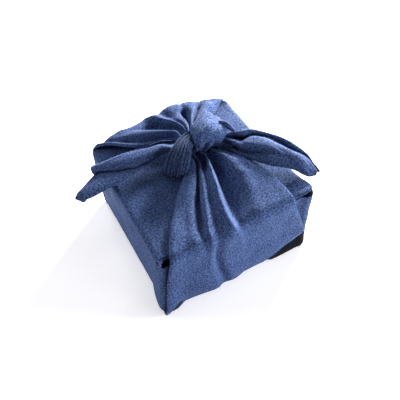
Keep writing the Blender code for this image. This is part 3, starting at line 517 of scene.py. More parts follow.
def joined_mesh(name):
    """All the shells as one mesh, with the flat cloth's coordinates and its painted shade."""
    verts, polygons, corners, shade_paints, start = [], [], [], [], 0
    for points, faces, corner, shade_paint in shells:
        verts.append(points)
        shade_paints.append(shade_paint)
        for face, spot in zip((faces + start).tolist(), corner.tolist()):
            if face[2] == face[3]:
                face, spot = face[:3], spot[:3]
            polygons.append(face)
            corners.extend(spot)
        start += len(points)
    mesh = bpy.data.meshes.new(name)
    mesh.from_pydata((np.concatenate(verts) * MM).tolist(), [], polygons)
    layer = mesh.uv_layers.new(name="flat_cloth")
    layer.data.foreach_set("uv", (np.array(corners) * MM).ravel())
    # the painted shade, as an attribute that the cotton's colour reads
    side = mesh.attributes.new("painted_shade", "FLOAT", "POINT")
    side.data.foreach_set("value", np.concatenate(shade_paints))
    mesh.shade_smooth()
    mesh.set_sharp_from_angle(angle=math.radians(60.0))
    mesh.validate()
    return mesh


# ---------------------------------------------------------------- pieces of the wrap
def tied_path(run, side):
    """Middle point and outward direction of a tied flap's path at a distance past the top edge."""
    bend = 6.0
    edge_low, edge_high = -bend - EDGE_SPREAD, bend
    turn = np.clip((run - edge_low) / (edge_high - edge_low), 0, 1) * math.pi / 2
    y = -(TIED_WALL - bend) - bend * np.cos(turn)
    z = TIED_TOP - bend + bend * np.sin(turn)
    below, above = run < edge_low, run > edge_high
    z = np.where(below, (TIED_TOP - bend) + (run - edge_low), z)
    y = np.where(above, -(TIED_WALL - bend) + (run - edge_high), y)
    ny, nz = -np.cos(turn), np.sin(turn)
    # under the base the cloth turns in along the table
    foot = 3.0
    floor = 0.55
    down = np.clip((foot + floor - z) / (foot * math.pi / 2), 0, 1) * math.pi / 2
    inward = np.clip(foot + floor - z - foot * math.pi / 2, 0, None)
    low = z < foot + floor
    y = np.where(low, -TIED_WALL + foot - foot * np.cos(down) + inward, y)
    z = np.where(low, floor + foot - foot * np.sin(down), z)
    return np.stack([-side * y, z], axis=-1), np.stack([-side * ny, nz], axis=-1)


def section_net(sections, step):
    """Fold lines at even runs, from sections across the flap."""
    stations = [s[0] for s in sections]
    runs = np.linspace(stations[0], stations[-1], int((stations[-1] - stations[0]) / step) + 1)
    return runs, through(stations, np.array([s[1:] for s in sections], float), runs)


def fold_net(folds, step):
    """Fold lines at even runs, from one line for each fold."""
    low, high = folds[0][0][0], folds[0][-1][0]
    runs = np.linspace(low, high, int((high - low) / step) + 1)
    lines = [through([p[0] for p in fold], [p[1:] for p in fold], runs) for fold in folds]
    return runs, np.stack(lines, axis=1)


def tied_flap(runs, net, tuck, side, step, seed, lift=None):
    """A tied flap from under the base to the knot, with its edges turned under."""
    tuck_width = through([k for k, _ in tuck], [[w] for _, w in tuck], runs)[:, 0]
    face = eased(finer(net, steps_for(net, step)))
    # small puckers, quieter at the creases
    across = walked(face, 1)
    edge = np.minimum(across, across[:, -1:] - across)
    quiet = smoothstep(0, 9, edge)
    run_grid = np.repeat(runs[:, None], face.shape[1], axis=1)
    near_knot = smoothstep(35, 105, run_grid)
    fine = ripple(face[..., 0] * (1 + 2.2 * near_knot), run_grid * 0.55, seed, 42, 11)
    broad = ripple(face[..., 0], run_grid * 0.6, seed + 1, 90, 40)
    base_fade = smoothstep(-112, -100, run_grid)
    face[..., 1] += quiet * base_fade * (0.30 * fine + 0.35 * broad)
    if lift is None:
        # a face that lies on the box never sinks into it
        face[..., 1] = np.maximum(face[..., 1], 0.2)
    left, right = face[:, :1], face[:, -1:]

    def turned(crease, sign, width):
        """The fold at a crease and the cloth turned under it."""
        out = []
        for dx, drop in ((0.55, 0.28), (0.75, 0.75), (0.45, 1.25), (-0.4, 1.5), (-3.0, 1.5)):
            out.append(crease + np.array([sign * dx, 0.0]) - np.array([0.0, drop / 1.5 * TUCK_GAP]))
        for share in (0.35, 0.7, 1.0):
            inward = np.stack([-sign * width * share, np.full_like(width, -TUCK_GAP)], axis=-1)
            out.append(crease + inward[:, None])
        return np.concatenate(out, axis=1)

    width = np.maximum(tuck_width, 4.0)
    right_part = turned(right, 1.0, width)
    left_part = turned(left, -1.0, width)[:, ::-1]
    section = np.concatenate([left_part, face, right_part], axis=1)
    middle, outward = tied_path(runs, side)
    x, out = section[..., 0], section[..., 1]
    y = middle[:, None, 0] + outward[:, None, 0] * out
    z = middle[:, None, 1] + outward[:, None, 1] * out
    if lift is not None:
        z = z + lift(x, runs[:, None])
    points = np.stack([x, y, z], axis=-1)
    run_walk = walked(points, 0)
    top_row = int(np.argmin(np.abs(runs - TOP_EDGE_RUN)))
    cloth_p = side * (TOP_EDGE_CLOTH + run_walk - run_walk[top_row])
    walk = walked(section, 1)
    first = left_part.shape[1]
    inner = slice(first, first + face.shape[1])
    rising = np.maximum.accumulate(x[:, inner], axis=1)
    centre = np.array([np.interp(5.0, xs, ws) for xs, ws in zip(rising, walk[:, inner])])
    cloth = np.stack([cloth_p, walk - centre[:, None]], axis=-1)
    if side > 0:
        points, cloth = points[:, ::-1], cloth[:, ::-1]
    add_sheet(points, cloth)


def drawn_up(x):
    """How high the front flap's lower right corner stands off the table."""
    return np.interp(x, [38, 45, 53, 62, 70, 80, 90, 100], [0, 3.5, 10, 16.5, 21, 24.5, 27, 29])


def base_lift(x, run):
    """The front flap's lower right corner is drawn up off the table."""
    return drawn_up(x) * (1 - smoothstep(-116, -48, run))


def crease_shade(x, run, left_lap, right_lap):
    """How much painted shade a spot gets under the front flap's edges, where the cloth beneath is hardly lit.
    """
    runs = [section[0] for section in FRONT_SECTIONS]
    left = np.interp(run, runs, [section[1][0] for section in FRONT_SECTIONS])
    right = np.interp(run, runs, [section[-1][0] for section in FRONT_SECTIONS])
    under = smoothstep(-left_lap, 0.8, x - left) * smoothstep(-right_lap, 0.8, right - x)
    return CREASE_DARK * under * smoothstep(-112, -100, run) * (1 - smoothstep(58, 66, run))


def plain_grid(path, halves, across, push):
    """A plain flap: a path of (x, z) points, with a half width at each, cut into columns."""
    x, z = (np.repeat(path[:, [axis]], len(across), 1) for axis in (0, 1))
    points = np.stack([x, halves[:, None] * across[None, :], z], axis=-1)
    tangent = np.gradient(path, axis=0)
    tangent /= np.linalg.norm(tangent, axis=1, keepdims=True)
    normal = np.stack([-tangent[:, 1], np.zeros(len(path)), tangent[:, 0]], axis=-1)
    return points + normal[:, None] * push(points)[..., None]


def path_points(corners, bend, step):
    """A path through corner points (x, z) with rounded bends, cut into even steps."""
    corners = [np.array(c, float) for c in corners]
    out = [corners[0]]
    for a, b, c in zip(corners, corners[1:], corners[2:]):
        u, v = (a - b) / np.linalg.norm(a - b), (c - b) / np.linalg.norm(c - b)
        angle = math.acos(np.clip(u @ v, -1, 1))
        cut = bend / math.tan(angle / 2)
        centre = b + (u + v) / np.linalg.norm(u + v) * bend / math.sin(angle / 2)
        p, q = b + u * cut - centre, b + v * cut - centre
        for k in range(9):
            w = p * math.cos(k / 8 * math.pi / 2) + q * math.sin(k / 8 * math.pi / 2)
            out.append(centre + w / np.linalg.norm(w) * bend)
    out.append(corners[-1])
    out = np.array(out)
    length = np.concatenate([[0], np.cumsum(np.linalg.norm(np.diff(out, axis=0), axis=1))])
    at = np.linspace(0, length[-1], int(length[-1] / step) + 1)
    return np.stack([np.interp(at, length, out[:, 0]), np.interp(at, length, out[:, 1])], axis=-1), at


def plain_cloth(at, points, start, sign):
    """Flat-cloth coordinates of a plain flap."""
    return np.stack([points[..., 1], sign * (start + np.repeat(at[:, None], points.shape[1], 1))], axis=-1)


def corner_draw(points):
    """How far the over flap is drawn out at the front right corner, and up at both right corners."""
    x, y = points[..., 0], points[..., 1]
    out = 5.0 * smoothstep(20, 94, -y) * smoothstep(60, 99, x)
    back = 1.2 * np.exp(-(x - 99) ** 2 / 900.0 - (y - 95) ** 2 / 500.0)
    tip = 4.8 * np.exp(-(x - 99) ** 2 / 90.0 - (y - 97) ** 2 / 60.0)
    crown = 3.6 * np.exp(-(x - 86) ** 2 / 260.0 - (y + 84) ** 2 / 64.0)
    up = back + tip + crown + 1.0 * smoothstep(80, 95, -y) * smoothstep(80, 99, x)
    return np.stack([out, 0 * x, up * smoothstep(90, 101, points[..., 2])], axis=-1)


def over_flap():
    """Up the -X face, across the top, and down the +X face to its point."""
    tip_z = 14.0
    face = WALL + 0.4
    corners = [(-FACE_START, ON_TABLE), (-WALL, ON_TABLE), (-WALL, TOP), (face, TOP), (face, tip_z)]
    path, at = path_points(corners, 5.0, 3.2)
    length = at[-1]
    over = smoothstep(90, 108, at)
    half = np.minimum(93.5 - 0.5 * over, (length - at) * (89.0 / (TOP - tip_z)) + 0.4)
    across = np.linspace(-1, 1, 65)

    def push(p):
        """How far the cloth swells off its path."""
        top = smoothstep(TOP - 14, TOP - 2, p[..., 2])
        soft = ripple(p[..., 0] * 0.8, p[..., 1], 5, 120, 34)
        upright = ripple(p[..., 1], p[..., 2] * 0.7, 6, 90, 30)
        return top * 0.45 * soft + (1 - top) * 0.7 * upright * smoothstep(3, 25, p[..., 2])

    points = plain_grid(path, half, across, push)
    points += corner_draw(points)
    edge_gap = half[:, None] * (1 - np.abs(across))[None, :]
    hanging = smoothstep(length - 92, length - 88, at)[:, None]
    hem = np.where(hanging > 0.5, edge_gap * HEM_SLOPE, NO_HEM)
    rows = np.flatnonzero((hanging[:, 0] > 0.5) & (half > 2.2 * STITCH_IN))
    for order, sign in ((rows, -1), (rows[::-1], 1)):
        at_side = [sign * (1 - STITCH_IN / HEM_SLOPE / half[i]) for i in order]
        line = np.array([[np.interp(a, across, points[i, :, axis]) for axis in range(3)]
                         for i, a in zip(order, at_side)])
        stitch_along(line, np.array([1.0, 0.0, 0.0]))
    # painted shade on the cloth just under the front flap's creases
    dark = crease_shade(points[..., 0], TIED_WALL + points[..., 1], 2.4, 2.2) * (points[..., 2] > TOP - 6)
    cloth = plain_cloth(at, points, FACE_START, -1.0)
    add_sheet(points[:, ::-1], cloth[:, ::-1], hem[:, ::-1], shade_paint=dark[:, ::-1])


def under_flap():
    """Up the +X face, across the top under the over flap, and its point turned back beneath it."""
    face, upper, lower = WALL - UNDER_INSET, TOP - 1.4, TOP - 2.9
    path, at = path_points([(FACE_START, ON_TABLE), (face, ON_TABLE), (face, upper), (-84, upper)], 4.0, 5.0)
    back, back_at = path_points([(-84, upper), (-85.2, TOP - 2.0), (-84, lower), (16, lower)], 0.6, 5.0)
    path, at = np.concatenate([path, back[1:]]), np.concatenate([at, at[-1] + back_at[1:]])
    half = np.minimum(93.0, at[-1] - at + 3.0)
    across = np.linspace(-1, 1, 33)

    def push(p):
        """How far the cloth swells off its path."""
        soft = ripple(p[..., 1], p[..., 2] * 0.7, 8, 90, 30)
        return 0.25 * soft * smoothstep(3, 25, p[..., 2]) * (p[..., 2] < 96)

    points = plain_grid(path, half, across, push)
    add_sheet(points, plain_cloth(at, points, FACE_START, 1.0))


def corner_wrap(side_x, side_y, wall, seed, top=TOP - 0.1, bend=5.0, swell=None, shade=None, dip=None):
    """The plain flap's cloth carried round an upright edge and in behind the tied flap."""
    depth, radius, reach = WRAP_DEPTH, 6.5, 78.0
    turn = np.radians([15, 30, 45, 60, 75, 90])
    over = top - bend + bend * np.sin(turn)
    heights = np.concatenate([[0.5, 1.2, 3.0], np.linspace(6, top - bend, 22), over, [top]])
    tuck_in = np.concatenate([[4.0, 1.2, 0.2], np.zeros(22), bend - bend * np.cos(turn), [6.4]])
    plan = [(wall, depth - 36.0), (wall, depth - 20.0), (wall, depth - radius - 4.0)]
    for k in range(9):
        a = k / 8 * math.pi / 2
        plan.append((wall - radius + radius * math.cos(a), depth - radius + radius * math.sin(a)))
    for k in range(1, 13):
        plan.append((wall - radius - reach * (k / 12) ** 1.5, depth))
    plan = np.array(plan)
    tangent = np.gradient(plan, axis=0)
    normal = np.stack([tangent[:, 1], -tangent[:, 0]], axis=-1)
    normal /= np.linalg.norm(normal, axis=1, keepdims=True)
    normal *= np.sign(normal.sum(axis=1, keepdims=True))
    points = np.empty((len(heights), len(plan), 3))
    for i, (z, inset) in enumerate(zip(heights, tuck_in)):
        out = -inset + (0 if swell is None else swell(plan, z))
        soft = ripple(plan[:, 0] + plan[:, 1], np.full(len(plan), z * 0.6), seed, 50, 16)
        out = out + 0.35 * soft * smoothstep(1, 14, z)
        place = plan + normal * np.reshape(out, (-1, 1))
        points[i, :, 0], points[i, :, 1] = side_x * place[:, 0], side_y * place[:, 1]
        points[i, :, 2] = z if dip is None else z - dip(plan[:, 0]) * smoothstep(60, top, z)
    cloth = np.stack(np.broadcast_arrays(side_y * (depth - 36.0 + walked(points, 1)),
                                         side_x * (BASE_HALF + heights)[:, None]), axis=-1)
    # painted shade, where the shade function gives one
    shade_paint = np.zeros(points.shape[:2]) if shade is None else shade(points)
    if side_x * side_y > 0:
        points, cloth, shade_paint = points[:, ::-1], cloth[:, ::-1], shade_paint[:, ::-1]
    add_sheet(points, cloth, shade_paint=shade_paint)


def edge_drop(side_y, x_from, x_to, fall, tuck, seed, wall_y, top=TOP - 0.3, bend=5.0, retreat=0.0):
    """The plain flap's side edge, rolled over the top edge of a tied face."""
    x = np.linspace(x_from, x_to, max(4, int(abs(x_to - x_from) / 3.0)))
    profile = [(ROLLED_EDGE, top)]
    for k in range(8):
        a = math.pi / 2 * (1 - k / 7)
        profile.append((wall_y - bend + bend * math.cos(a), top - bend + bend * math.sin(a)))
    low = top - bend - fall
    if tuck:
        profile += [(wall_y + 0.1, low + 0.6), (wall_y - 0.5, low - 0.1)]
        profile += [(wall_y - 1.6, low - 0.3), (wall_y - 5.0, low + 0.2)]
    else:
        profile += [(wall_y, low + fall * 0.6), (wall_y, low + fall * 0.3), (wall_y, low)]
    profile = np.array(profile)
    points = np.empty((len(profile), len(x), 3))
    wander = 0.5 * ripple(x, x * 0 + 3.0, seed, 40, 14)
    weight = np.linspace(0, 1, len(profile))[:, None]
    points[..., 0] = x[None, :]
    outward = smoothstep(ROLLED_EDGE, wall_y, profile[:, :1])
    back = retreat * smoothstep(x_from, x_from + 6.0, x)[None, :] * outward
    points[..., 1] = side_y * (profile[:, :1] - back + weight * wander[None, :] * 0.6)
    points[..., 2] = profile[:, 1:] + weight * wander[None, :]
    along = np.concatenate([[0], np.cumsum(np.linalg.norm(np.diff(profile, axis=0), axis=1))])
    down = side_y * (ROLLED_EDGE + along)[:, None]
    cloth = np.stack(np.broadcast_arrays(down, -(SIDE_EDGE_CLOTH + x)[None, :]), axis=-1)
    if side_y * (x_to - x_from) > 0:
        points, cloth = points[:, ::-1], cloth[:, ::-1]
    add_sheet(points, cloth)


def frames(rows):
    """Centre, across and up directions along a tied end."""
    centre = rows[:, :3]
    tangent = np.gradient(centre, axis=0)
    tangent /= np.linalg.norm(tangent, axis=1, keepdims=True)
    angle = np.radians(rows[:, 5])
    across = np.stack([np.cos(angle), np.sin(angle), np.zeros_like(angle)], axis=-1)
    across -= tangent * (across * tangent).sum(axis=1, keepdims=True)
    across /= np.linalg.norm(across, axis=1, keepdims=True)
    return centre, across, np.cross(across, tangent)


def catmull(table, per_span):
    """Rows between the rows of a table, on a Catmull-Rom curve."""
    t = np.asarray(table, float)
    p = np.concatenate([t[:1], t, t[-1:]])
    out = []
    for i in range(len(t) - 1):
        a, b, c, d = p[i:i + 4]
        for k in range(per_span):
            u = k / per_span
            out.append(0.5 * (2 * b + (c - a) * u + (2 * a - 5 * b + 4 * c - d) * u * u
                              + (3 * b - a - 3 * c + d) * u ** 3))
    out.append(t[-1])
    return np.array(out)


def tied_end(table, pleats, start, seed, shade_paint=0.0):
    """A tied end gathered into a pleated band."""
    rows = catmull(table, 7)
    centre, across, up = frames(rows)
    columns = 72
    theta = np.linspace(0, 2 * math.pi, columns, endpoint=False)
    s = -np.cos(theta)
    share = np.linspace(0, 1, len(rows))[:, None]
    width, thick, blunt = rows[:, 3:4], rows[:, 4:5], rows[:, 6:7]
    oval = (1 - np.abs(s)[None, :] ** blunt).clip(0) ** (1 / blunt)
    half = thick / 2 * oval * np.sign(np.sin(theta))[None, :]
    groove = np.zeros_like(half)
    for place_a, place_b, depth, wide in pleats:
        place = place_a + (place_b - place_a) * share
        drift = 0.05 * np.sin(share * 9 + place_a * 7)
        groove += depth * np.exp(-(np.abs(s[None, :] - place - drift) / wide) ** 1.4)
    round_it, along_it = np.repeat(s[None, :] * 22, len(rows), 0), np.repeat(share * 60, columns, 1)
    swell = 0.55 * ripple(round_it, along_it, seed, 26, 9)
    lift = half + np.sign(half) * (swell * 0.8 - groove) * smoothstep(0, 0.35, 1 - np.abs(s))[None, :]
    sideways = across[:, None] * (s[None, :] * width / 2)[..., None]
    rings = centre[:, None] + sideways + up[:, None] * lift[..., None]
    along = walked(centre[None], 1)[0]
    around = np.concatenate([walked(rings, 1), walked(rings, 1)[:, -1:] +
                             np.linalg.norm(rings[:, :1] - rings[:, -1:], axis=-1)], axis=1)
    add_tube(rings, tube_cloth(start, along, around), shade_paint)


def upward(face):
    """Unit normals of a grid of points, turned so that they point up at its middle."""
    normal = np.cross(np.gradient(face, axis=1), np.gradient(face, axis=0))
    normal /= np.linalg.norm(normal, axis=-1, keepdims=True).clip(1e-9)
    return normal * np.sign(normal[:, normal.shape[1] // 2, 2].mean())


def ear(table, step, seed, pleats=(), start=None):
    """An ear, opened again from the knot out to the hem. With a start it is a band with no hem."""
    net = np.array(table, float)
    length = walked(net, 0).mean(axis=1)
    at = np.linspace(0, length[-1], int(length[-1] / step) + 1)
    rows = through(length, net.reshape(len(net), -1), at).reshape(len(at), net.shape[1], 3)
    face = eased(finer(rows, steps_for(rows, step)))
    u, v = walked(face, 1), np.repeat(at[:, None], face.shape[1], 1)
    bend = 0.35 * ripple(u * 1.4, v * 0.6, seed, 40, 12)
    edge = np.minimum(u, u[:, -1:] - u)
    normal = upward(face)
    face = face + normal * (bend * smoothstep(0, 8, edge))[..., None]
    share = u / u[:, -1:]
    run = v / length[-1]
    for place_a, place_b, depth, wide in pleats:
        place = place_a + (place_b - place_a) * run + 0.012 * np.sin(run * 17 + place_a * 40)
        face = face - normal * (depth * np.exp(-(np.abs(share - place) / wide) ** 1.5))[..., None]
    from_end = length[-1] - v
    cloth = np.stack([CORNER - from_end, u - u[:, [u.shape[1] // 2]]], axis=-1)
    if start is not None:
        add_sheet(face, cloth - (CORNER - start, 0))
        return
    add_sheet(face, cloth, hem=from_end + 0.3)
    row = int(np.argmin(np.abs(from_end[:, 0] - STITCH_IN)))
    stitch_along(face[row, 1:-1], upward(face)[row, 1:-1])


def under_band(table, depth, skip, start):
    """The gathered layers that fill the band over the knot."""
    net = np.array(table, float)[:, skip:-skip]
    face = eased(finer(net, steps_for(net, 3.0)))
    normal = upward(face)
    side = np.linspace(-1, 1, face.shape[1])
    deep = 2.5 + depth * np.sqrt(1 - side ** 2)
    rings = np.concatenate([face - 2.2 * normal, (face - normal * deep[None, :, None])[:, ::-1]], axis=1)
    along = walked(net, 0).mean(axis=1)
    around = np.concatenate([walked(rings, 1), walked(rings, 1)[:, -1:] + 1.0], axis=1)
    add_tube(rings, tube_cloth(start, along, around))


def roll(table, start):
    """A small rolled fold."""
    rows = catmull(table, 5)
    centre, across, up = frames(rows)
    columns = 28
    theta = np.linspace(0, 2 * math.pi, columns, endpoint=False)
    rings = (centre[:, None] + across[:, None] * (np.cos(theta) * rows[:, 3:4] / 2)[..., None]
             - up[:, None] * (np.sin(theta) * rows[:, 4:5] / 2)[..., None])
    along = walked(centre[None], 1)[0]
    around = np.repeat(np.linspace(0, 1, columns + 1)[None], len(rows), 0) * rows[:, 3:4] * 2.4
    add_tube(rings, tube_cloth(start, along, around))


def base_panel():
    """The cloth under the base, lying flat."""
    x = np.linspace(-92, 92, 24)
    points = np.stack(np.broadcast_arrays(x[None, :], x[:, None], 1.5), axis=-1).astype(float)
    cloth = np.stack([points[..., 1], points[..., 0]], axis=-1)
    add_sheet(points, cloth)


def front_toe(plan, z):
    """At the foot of the front left edge the cloth sticks out in a point."""
    along, out = plan[:, 0], plan[:, 1]
    return 6.8 * (1 - smoothstep(12, 74, z)) * smoothstep(54, 92, out) * smoothstep(68, 92, along)


def front_dip(x):
    """Beside the flap's crease the wrap's top edge dips, and leaves a small pocket."""
    return POCKET_DIP * (1 - smoothstep(95.5, 98.8, x))


def pocket_shade(points):
    """Painted shade inside the pocket, and on the cloth beside the crease, which lies in the dark."""
    x, y, z = points[..., 0], points[..., 1], points[..., 2]
    edge = FRONT_WRAP_TOP - front_dip(-x)
    inside = smoothstep(-0.9, -0.3, z - edge) * (y < -88)
    beside = crease_shade(x, z - (TIED_TOP + EDGE_SPREAD), 2.0, 200.0) * (y < -90)
    return np.maximum(inside, beside)


def pocket_back():
    """The layer at the back of the front left pocket, its colour painted part-way to shade."""
    x, z = np.linspace(-98.0, -72.0, 14), np.linspace(86.0, TOP - 0.8, 8)
    points = np.stack(np.broadcast_arrays(x[None, :], -92.4, z[:, None]), axis=-1).astype(float)
    add_sheet(points, points[..., [0, 2]] + 150.0, shade_paint=0.6)


def right_corner(plan, z):
    """The front right edge stands out, and so does its foot, under the drawn-up flap."""
    along, out = plan[:, 0], plan[:, 1]
    edge = 7.2 * smoothstep(62, 90, out) * smoothstep(86, 98, along)
    foot = (6.8 + 1.5 * smoothstep(86, 98, along)) * (1 - smoothstep(6, 34, z))
    return np.maximum(edge, foot * smoothstep(38, 52, along) * smoothstep(90, 97, out))


def right_shade(points):
    """Painted shade on the foot, under the drawn-up flap, and inside the top edge."""
    x, y, z = points[..., 0], points[..., 1], points[..., 2]
    foot = (1 - smoothstep(-1.5, 1.0, z - drawn_up(x) - 1.0)) * smoothstep(40, 46, x) * smoothstep(90, 94, -y)
    return np.maximum(foot, smoothstep(99.6, 100.6, z) * (y < -80))


def corner_lip(seed):
    """The over flap's side edge, turned under, standing clear of the front right corner."""
    x = np.linspace(64, 99.5, 22)
    share = smoothstep(64, 100, x)
    profile = [(86.0, 0.6, 0.0), (91.0, 0.6, 1.5), (95.5, 0.2, 3.4), (98.2, -0.6, 4.6),
               (99.2, -1.7, 4.8), (98.6, -2.8, 4.2), (96.6, -3.4, 3.6), (95.6, -6.0, 2.0),
               (95.4, -12.0, 0.0), (95.4, -20.0, 0.0)]
    points = np.empty((len(profile), len(x), 3))
    for i, (depth, drop, gain) in enumerate(profile):
        points[i, :, 0] = x + (5.4 - 4.0 * smoothstep(93, 100, depth)) * smoothstep(60, 99, x)
        points[i, :, 1] = -depth - 0.3 * ripple(x, x * 0 + depth * 0.2, seed, 30, 12)
        points[i, :, 2] = TOP + drop + gain * share
    along = walked(points, 0)
    cloth = np.stack([-(86.0 + along), np.repeat(-(SIDE_EDGE_CLOTH + x)[None, :], len(profile), 0)], axis=-1)
    # painted shade on the turned-under part of the lip, in the slit at the corner
    shade_paint = np.repeat(np.array([0, 0, 0, 0, 0, 0.4, 1, 1, 1, 1.0])[:, None], len(x), 1)
    add_sheet(points, cloth, shade_paint=shade_paint)


base_panel()
over_flap()
under_flap()
UNDER_WALL = WALL - UNDER_INSET
corner_wrap(-1, -1, WALL, 21, FRONT_WRAP_TOP, 2.0, swell=front_toe, shade=pocket_shade, dip=front_dip)
pocket_back()
corner_wrap(-1, 1, WALL, 22)
corner_wrap(1, -1, UNDER_WALL, 23, FRONT_WRAP_TOP, 2.4, swell=right_corner, shade=right_shade)
corner_lip(39)
corner_wrap(1, 1, UNDER_WALL, 24)
# side, from x, to x, how far it hangs, whether its edge is turned under, seed and wall
edge_drop(-1, -98.5, -70, 0.2, True, 31, 101.2, top=TOP, bend=2.0, retreat=6.0)
for side_y, x_from, x_to, fall, tuck, seed, wall_y in (
        (-1, 58, 76, 1.6, True, 32, 100.0), (1, -97, -70, 1.2, True, 33, 99.6),
        (1, 70, 96, 1.2, True, 34, 99.6), (-1, -72, 60, 60.0, False, 35, 97.4),
        (1, -72, 68, 60.0, False, 36, 97.4)):
    edge_drop(side_y, x_from, x_to, fall, tuck, seed, wall_y)
for side_y, x_to, seed in ((-1, 66, 37), (1, 72, 38)):
    edge_drop(side_y, -80, x_to, 70.0, False, seed, 96.0, top=TOP - 1.5)
front_runs, front_net = section_net(FRONT_SECTIONS, 2.5)
stands = (smoothstep(-102, -84, front_runs) * (1 - smoothstep(30, 60, front_runs)))[:, None]
front_net[:, :2, 1] += LEFT_CREASE * stands * np.array([1.0, 0.75])
front_net[:, -2:, 1] += RIGHT_CREASE * stands
tied_flap(front_runs, front_net, FRONT_TUCK, side=-1, step=2.5, seed=41, lift=base_lift)
tied_flap(*fold_net(BACK_FOLDS, 2.2), BACK_TUCK, side=1, step=2.5, seed=43)
tied_end(FIRST_LOOP, FIRST_PLEATS, start=225.0, seed=51)
# the second tied end's colour is painted half-way to shade
tied_end(SECOND_LOOP, SECOND_PLEATS, start=160.0, seed=52, shade_paint=0.5)
ear(BAND, step=1.6, seed=63, pleats=BAND_PLEATS, start=330.0)
under_band(BAND, depth=13.0, skip=2, start=320.0)
roll(SIDE_FOLD, start=300.0)
ear(LEFT_EAR, step=2.0, seed=61)
ear(RIGHT_EAR, step=2.0, seed=62)

cloth = bpy.data.objects.new("wrapping_cotton", joined_mesh("wrapping_cotton"))
bpy.context.scene.collection.objects.link(cloth)


# ---------------------------------------------------------------- finishes
def new_finish(name):
    """A new material, its node tree and its shader."""
    material = bpy.data.materials.new(name)
    material.use_nodes = True
    return material, material.node_tree, material.node_tree.nodes["Principled BSDF"]


def node(tree, kind, **values):
    """A new node with its settings."""
    made = tree.nodes.new(kind)
    for key, value in values.items():
        setattr(made, key, value)
    return made


def maths(tree, operation, a, b=None, clamp=False):
    """One calculation with a socket or number, or with two."""
    made = node(tree, "ShaderNodeMath", operation=operation, use_clamp=clamp)
    for socket, value in zip(made.inputs, (a, b)):
        if value is None:
            continue
        if hasattr(value, "is_output"):
            tree.links.new(value, socket)
        else:
            socket.default_value = value
    return made.outputs[0]


def mix(tree, fac, a, b):
    """A colour between two colours."""
    made = node(tree, "ShaderNodeMix", data_type="RGBA", blend_type="MIX")
    for socket, value in ((made.inputs[0], fac), (made.inputs[6], a), (made.inputs[7], b)):
        if hasattr(value, "is_output"):
            tree.links.new(value, socket)
        else:
            socket.default_value = value
    return made.outputs[2]


def noise(tree, vector, scale, detail=2.0, rough=0.5):
    """An uneven value that changes over a pattern's coordinates."""
    made = node(tree, "ShaderNodeTexNoise")
    made.inputs["Scale"].default_value = scale
    made.inputs["Detail"].default_value = detail
    made.inputs["Roughness"].default_value = rough
    tree.links.new(vector, made.inputs["Vector"])
    return made.outputs["Fac"]


def spread(tree, value, low, high, out_low=0.0, out_high=1.0):
    """A value stretched from one range to another."""
    made = node(tree, "ShaderNodeMapRange")
    tree.links.new(value, made.inputs["Value"])
    for name, number in (("From Min", low), ("From Max", high), ("To Min", out_low), ("To Max", out_high)):
        made.inputs[name].default_value = number
    return made.outputs["Result"]


def stretched(tree, vector, scale, turn=0.0):
    """A pattern's coordinates scaled, and turned about the cloth's normal."""
    made = node(tree, "ShaderNodeMapping")
    made.inputs["Scale"].default_value = scale
    made.inputs["Rotation"].default_value = (0.0, 0.0, turn)
    tree.links.new(vector, made.inputs["Vector"])
    return made.outputs["Vector"]


def cotton_finish():
    """Indigo cotton: slubs and mottling along the threads, and a plain weave."""
    material, tree, shader = new_finish("indigo_chambray")
    uv = node(tree, "ShaderNodeUVMap", uv_map="flat_cloth").outputs["UV"]
    threads = stretched(tree, uv, (1.0, 1.0, 1.0), math.radians(45.0))
    warp = noise(tree, stretched(tree, threads, (300.0, 1050.0, 1.0)), 1.0, 3.0, 0.6)
    weft = noise(tree, stretched(tree, threads, (1050.0, 300.0, 1.0)), 1.0, 3.0, 0.6)
    speck = noise(tree, threads, 430.0, 2.0, 0.65)
    blotch = noise(tree, threads, 42.0, 3.0, 0.55)
    cloud = noise(tree, threads, 9.0, 2.0, 0.5)
    mottled = maths(tree, "ADD", maths(tree, "MULTIPLY", warp, 0.27), maths(tree, "MULTIPLY", weft, 0.27))
    mottled = maths(tree, "ADD", mottled, maths(tree, "MULTIPLY", speck, 0.46))
    mottled = spread(tree, mottled, 0.425, 0.615)
    tone = maths(tree, "ADD", maths(tree, "MULTIPLY", mottled, 0.80),
                 maths(tree, "ADD", maths(tree, "MULTIPLY", spread(tree, blotch, 0.3, 0.7), 0.12),
                       maths(tree, "MULTIPLY", spread(tree, cloud, 0.3, 0.7), 0.08)), clamp=True)
    colour = mix(tree, tone, (0.0024, 0.0068, 0.0270, 1.0), (0.092, 0.155, 0.372, 1.0))
    # painted shade: the colour is drawn towards near-black where the cloth lies in shadow, in creases,
    # pockets and gaps
    shade_paint = node(tree, "ShaderNodeAttribute", attribute_name="painted_shade").outputs["Fac"]
    colour = mix(tree, shade_paint, colour, (0.0006, 0.0012, 0.0045, 1.0))
    tree.links.new(colour, shader.inputs["Base Color"])
    # weave and slubs as relief
    split = node(tree, "ShaderNodeSeparateXYZ")
    tree.links.new(threads, split.inputs[0])
    rows = maths(tree, "SINE", maths(tree, "MULTIPLY", split.outputs[0], 2 * math.pi / THREAD_PITCH))
    columns = maths(tree, "SINE", maths(tree, "MULTIPLY", split.outputs[1], 2 * math.pi / THREAD_PITCH))
    weave = maths(tree, "MULTIPLY", rows, columns)
    height = maths(tree, "ADD", maths(tree, "MULTIPLY", weave, 0.5), maths(tree, "MULTIPLY", mottled, 0.35))
    bump = node(tree, "ShaderNodeBump")
    bump.inputs["Strength"].default_value = 0.35
    bump.inputs["Distance"].default_value = 0.00025
    tree.links.new(height, bump.inputs["Height"])
    tree.links.new(bump.outputs["Normal"], shader.inputs["Normal"])
    tree.links.new(spread(tree, mottled, 0.0, 1.0, 0.95, 0.80), shader.inputs["Roughness"])
    shader.inputs["Specular IOR Level"].default_value = 0.08
    shader.inputs["Sheen Weight"].default_value = 0.05
    shader.inputs["Sheen Roughness"].default_value = 0.35
    shader.inputs["Sheen Tint"].default_value = (0.75, 0.84, 1.0, 1.0)
    return material


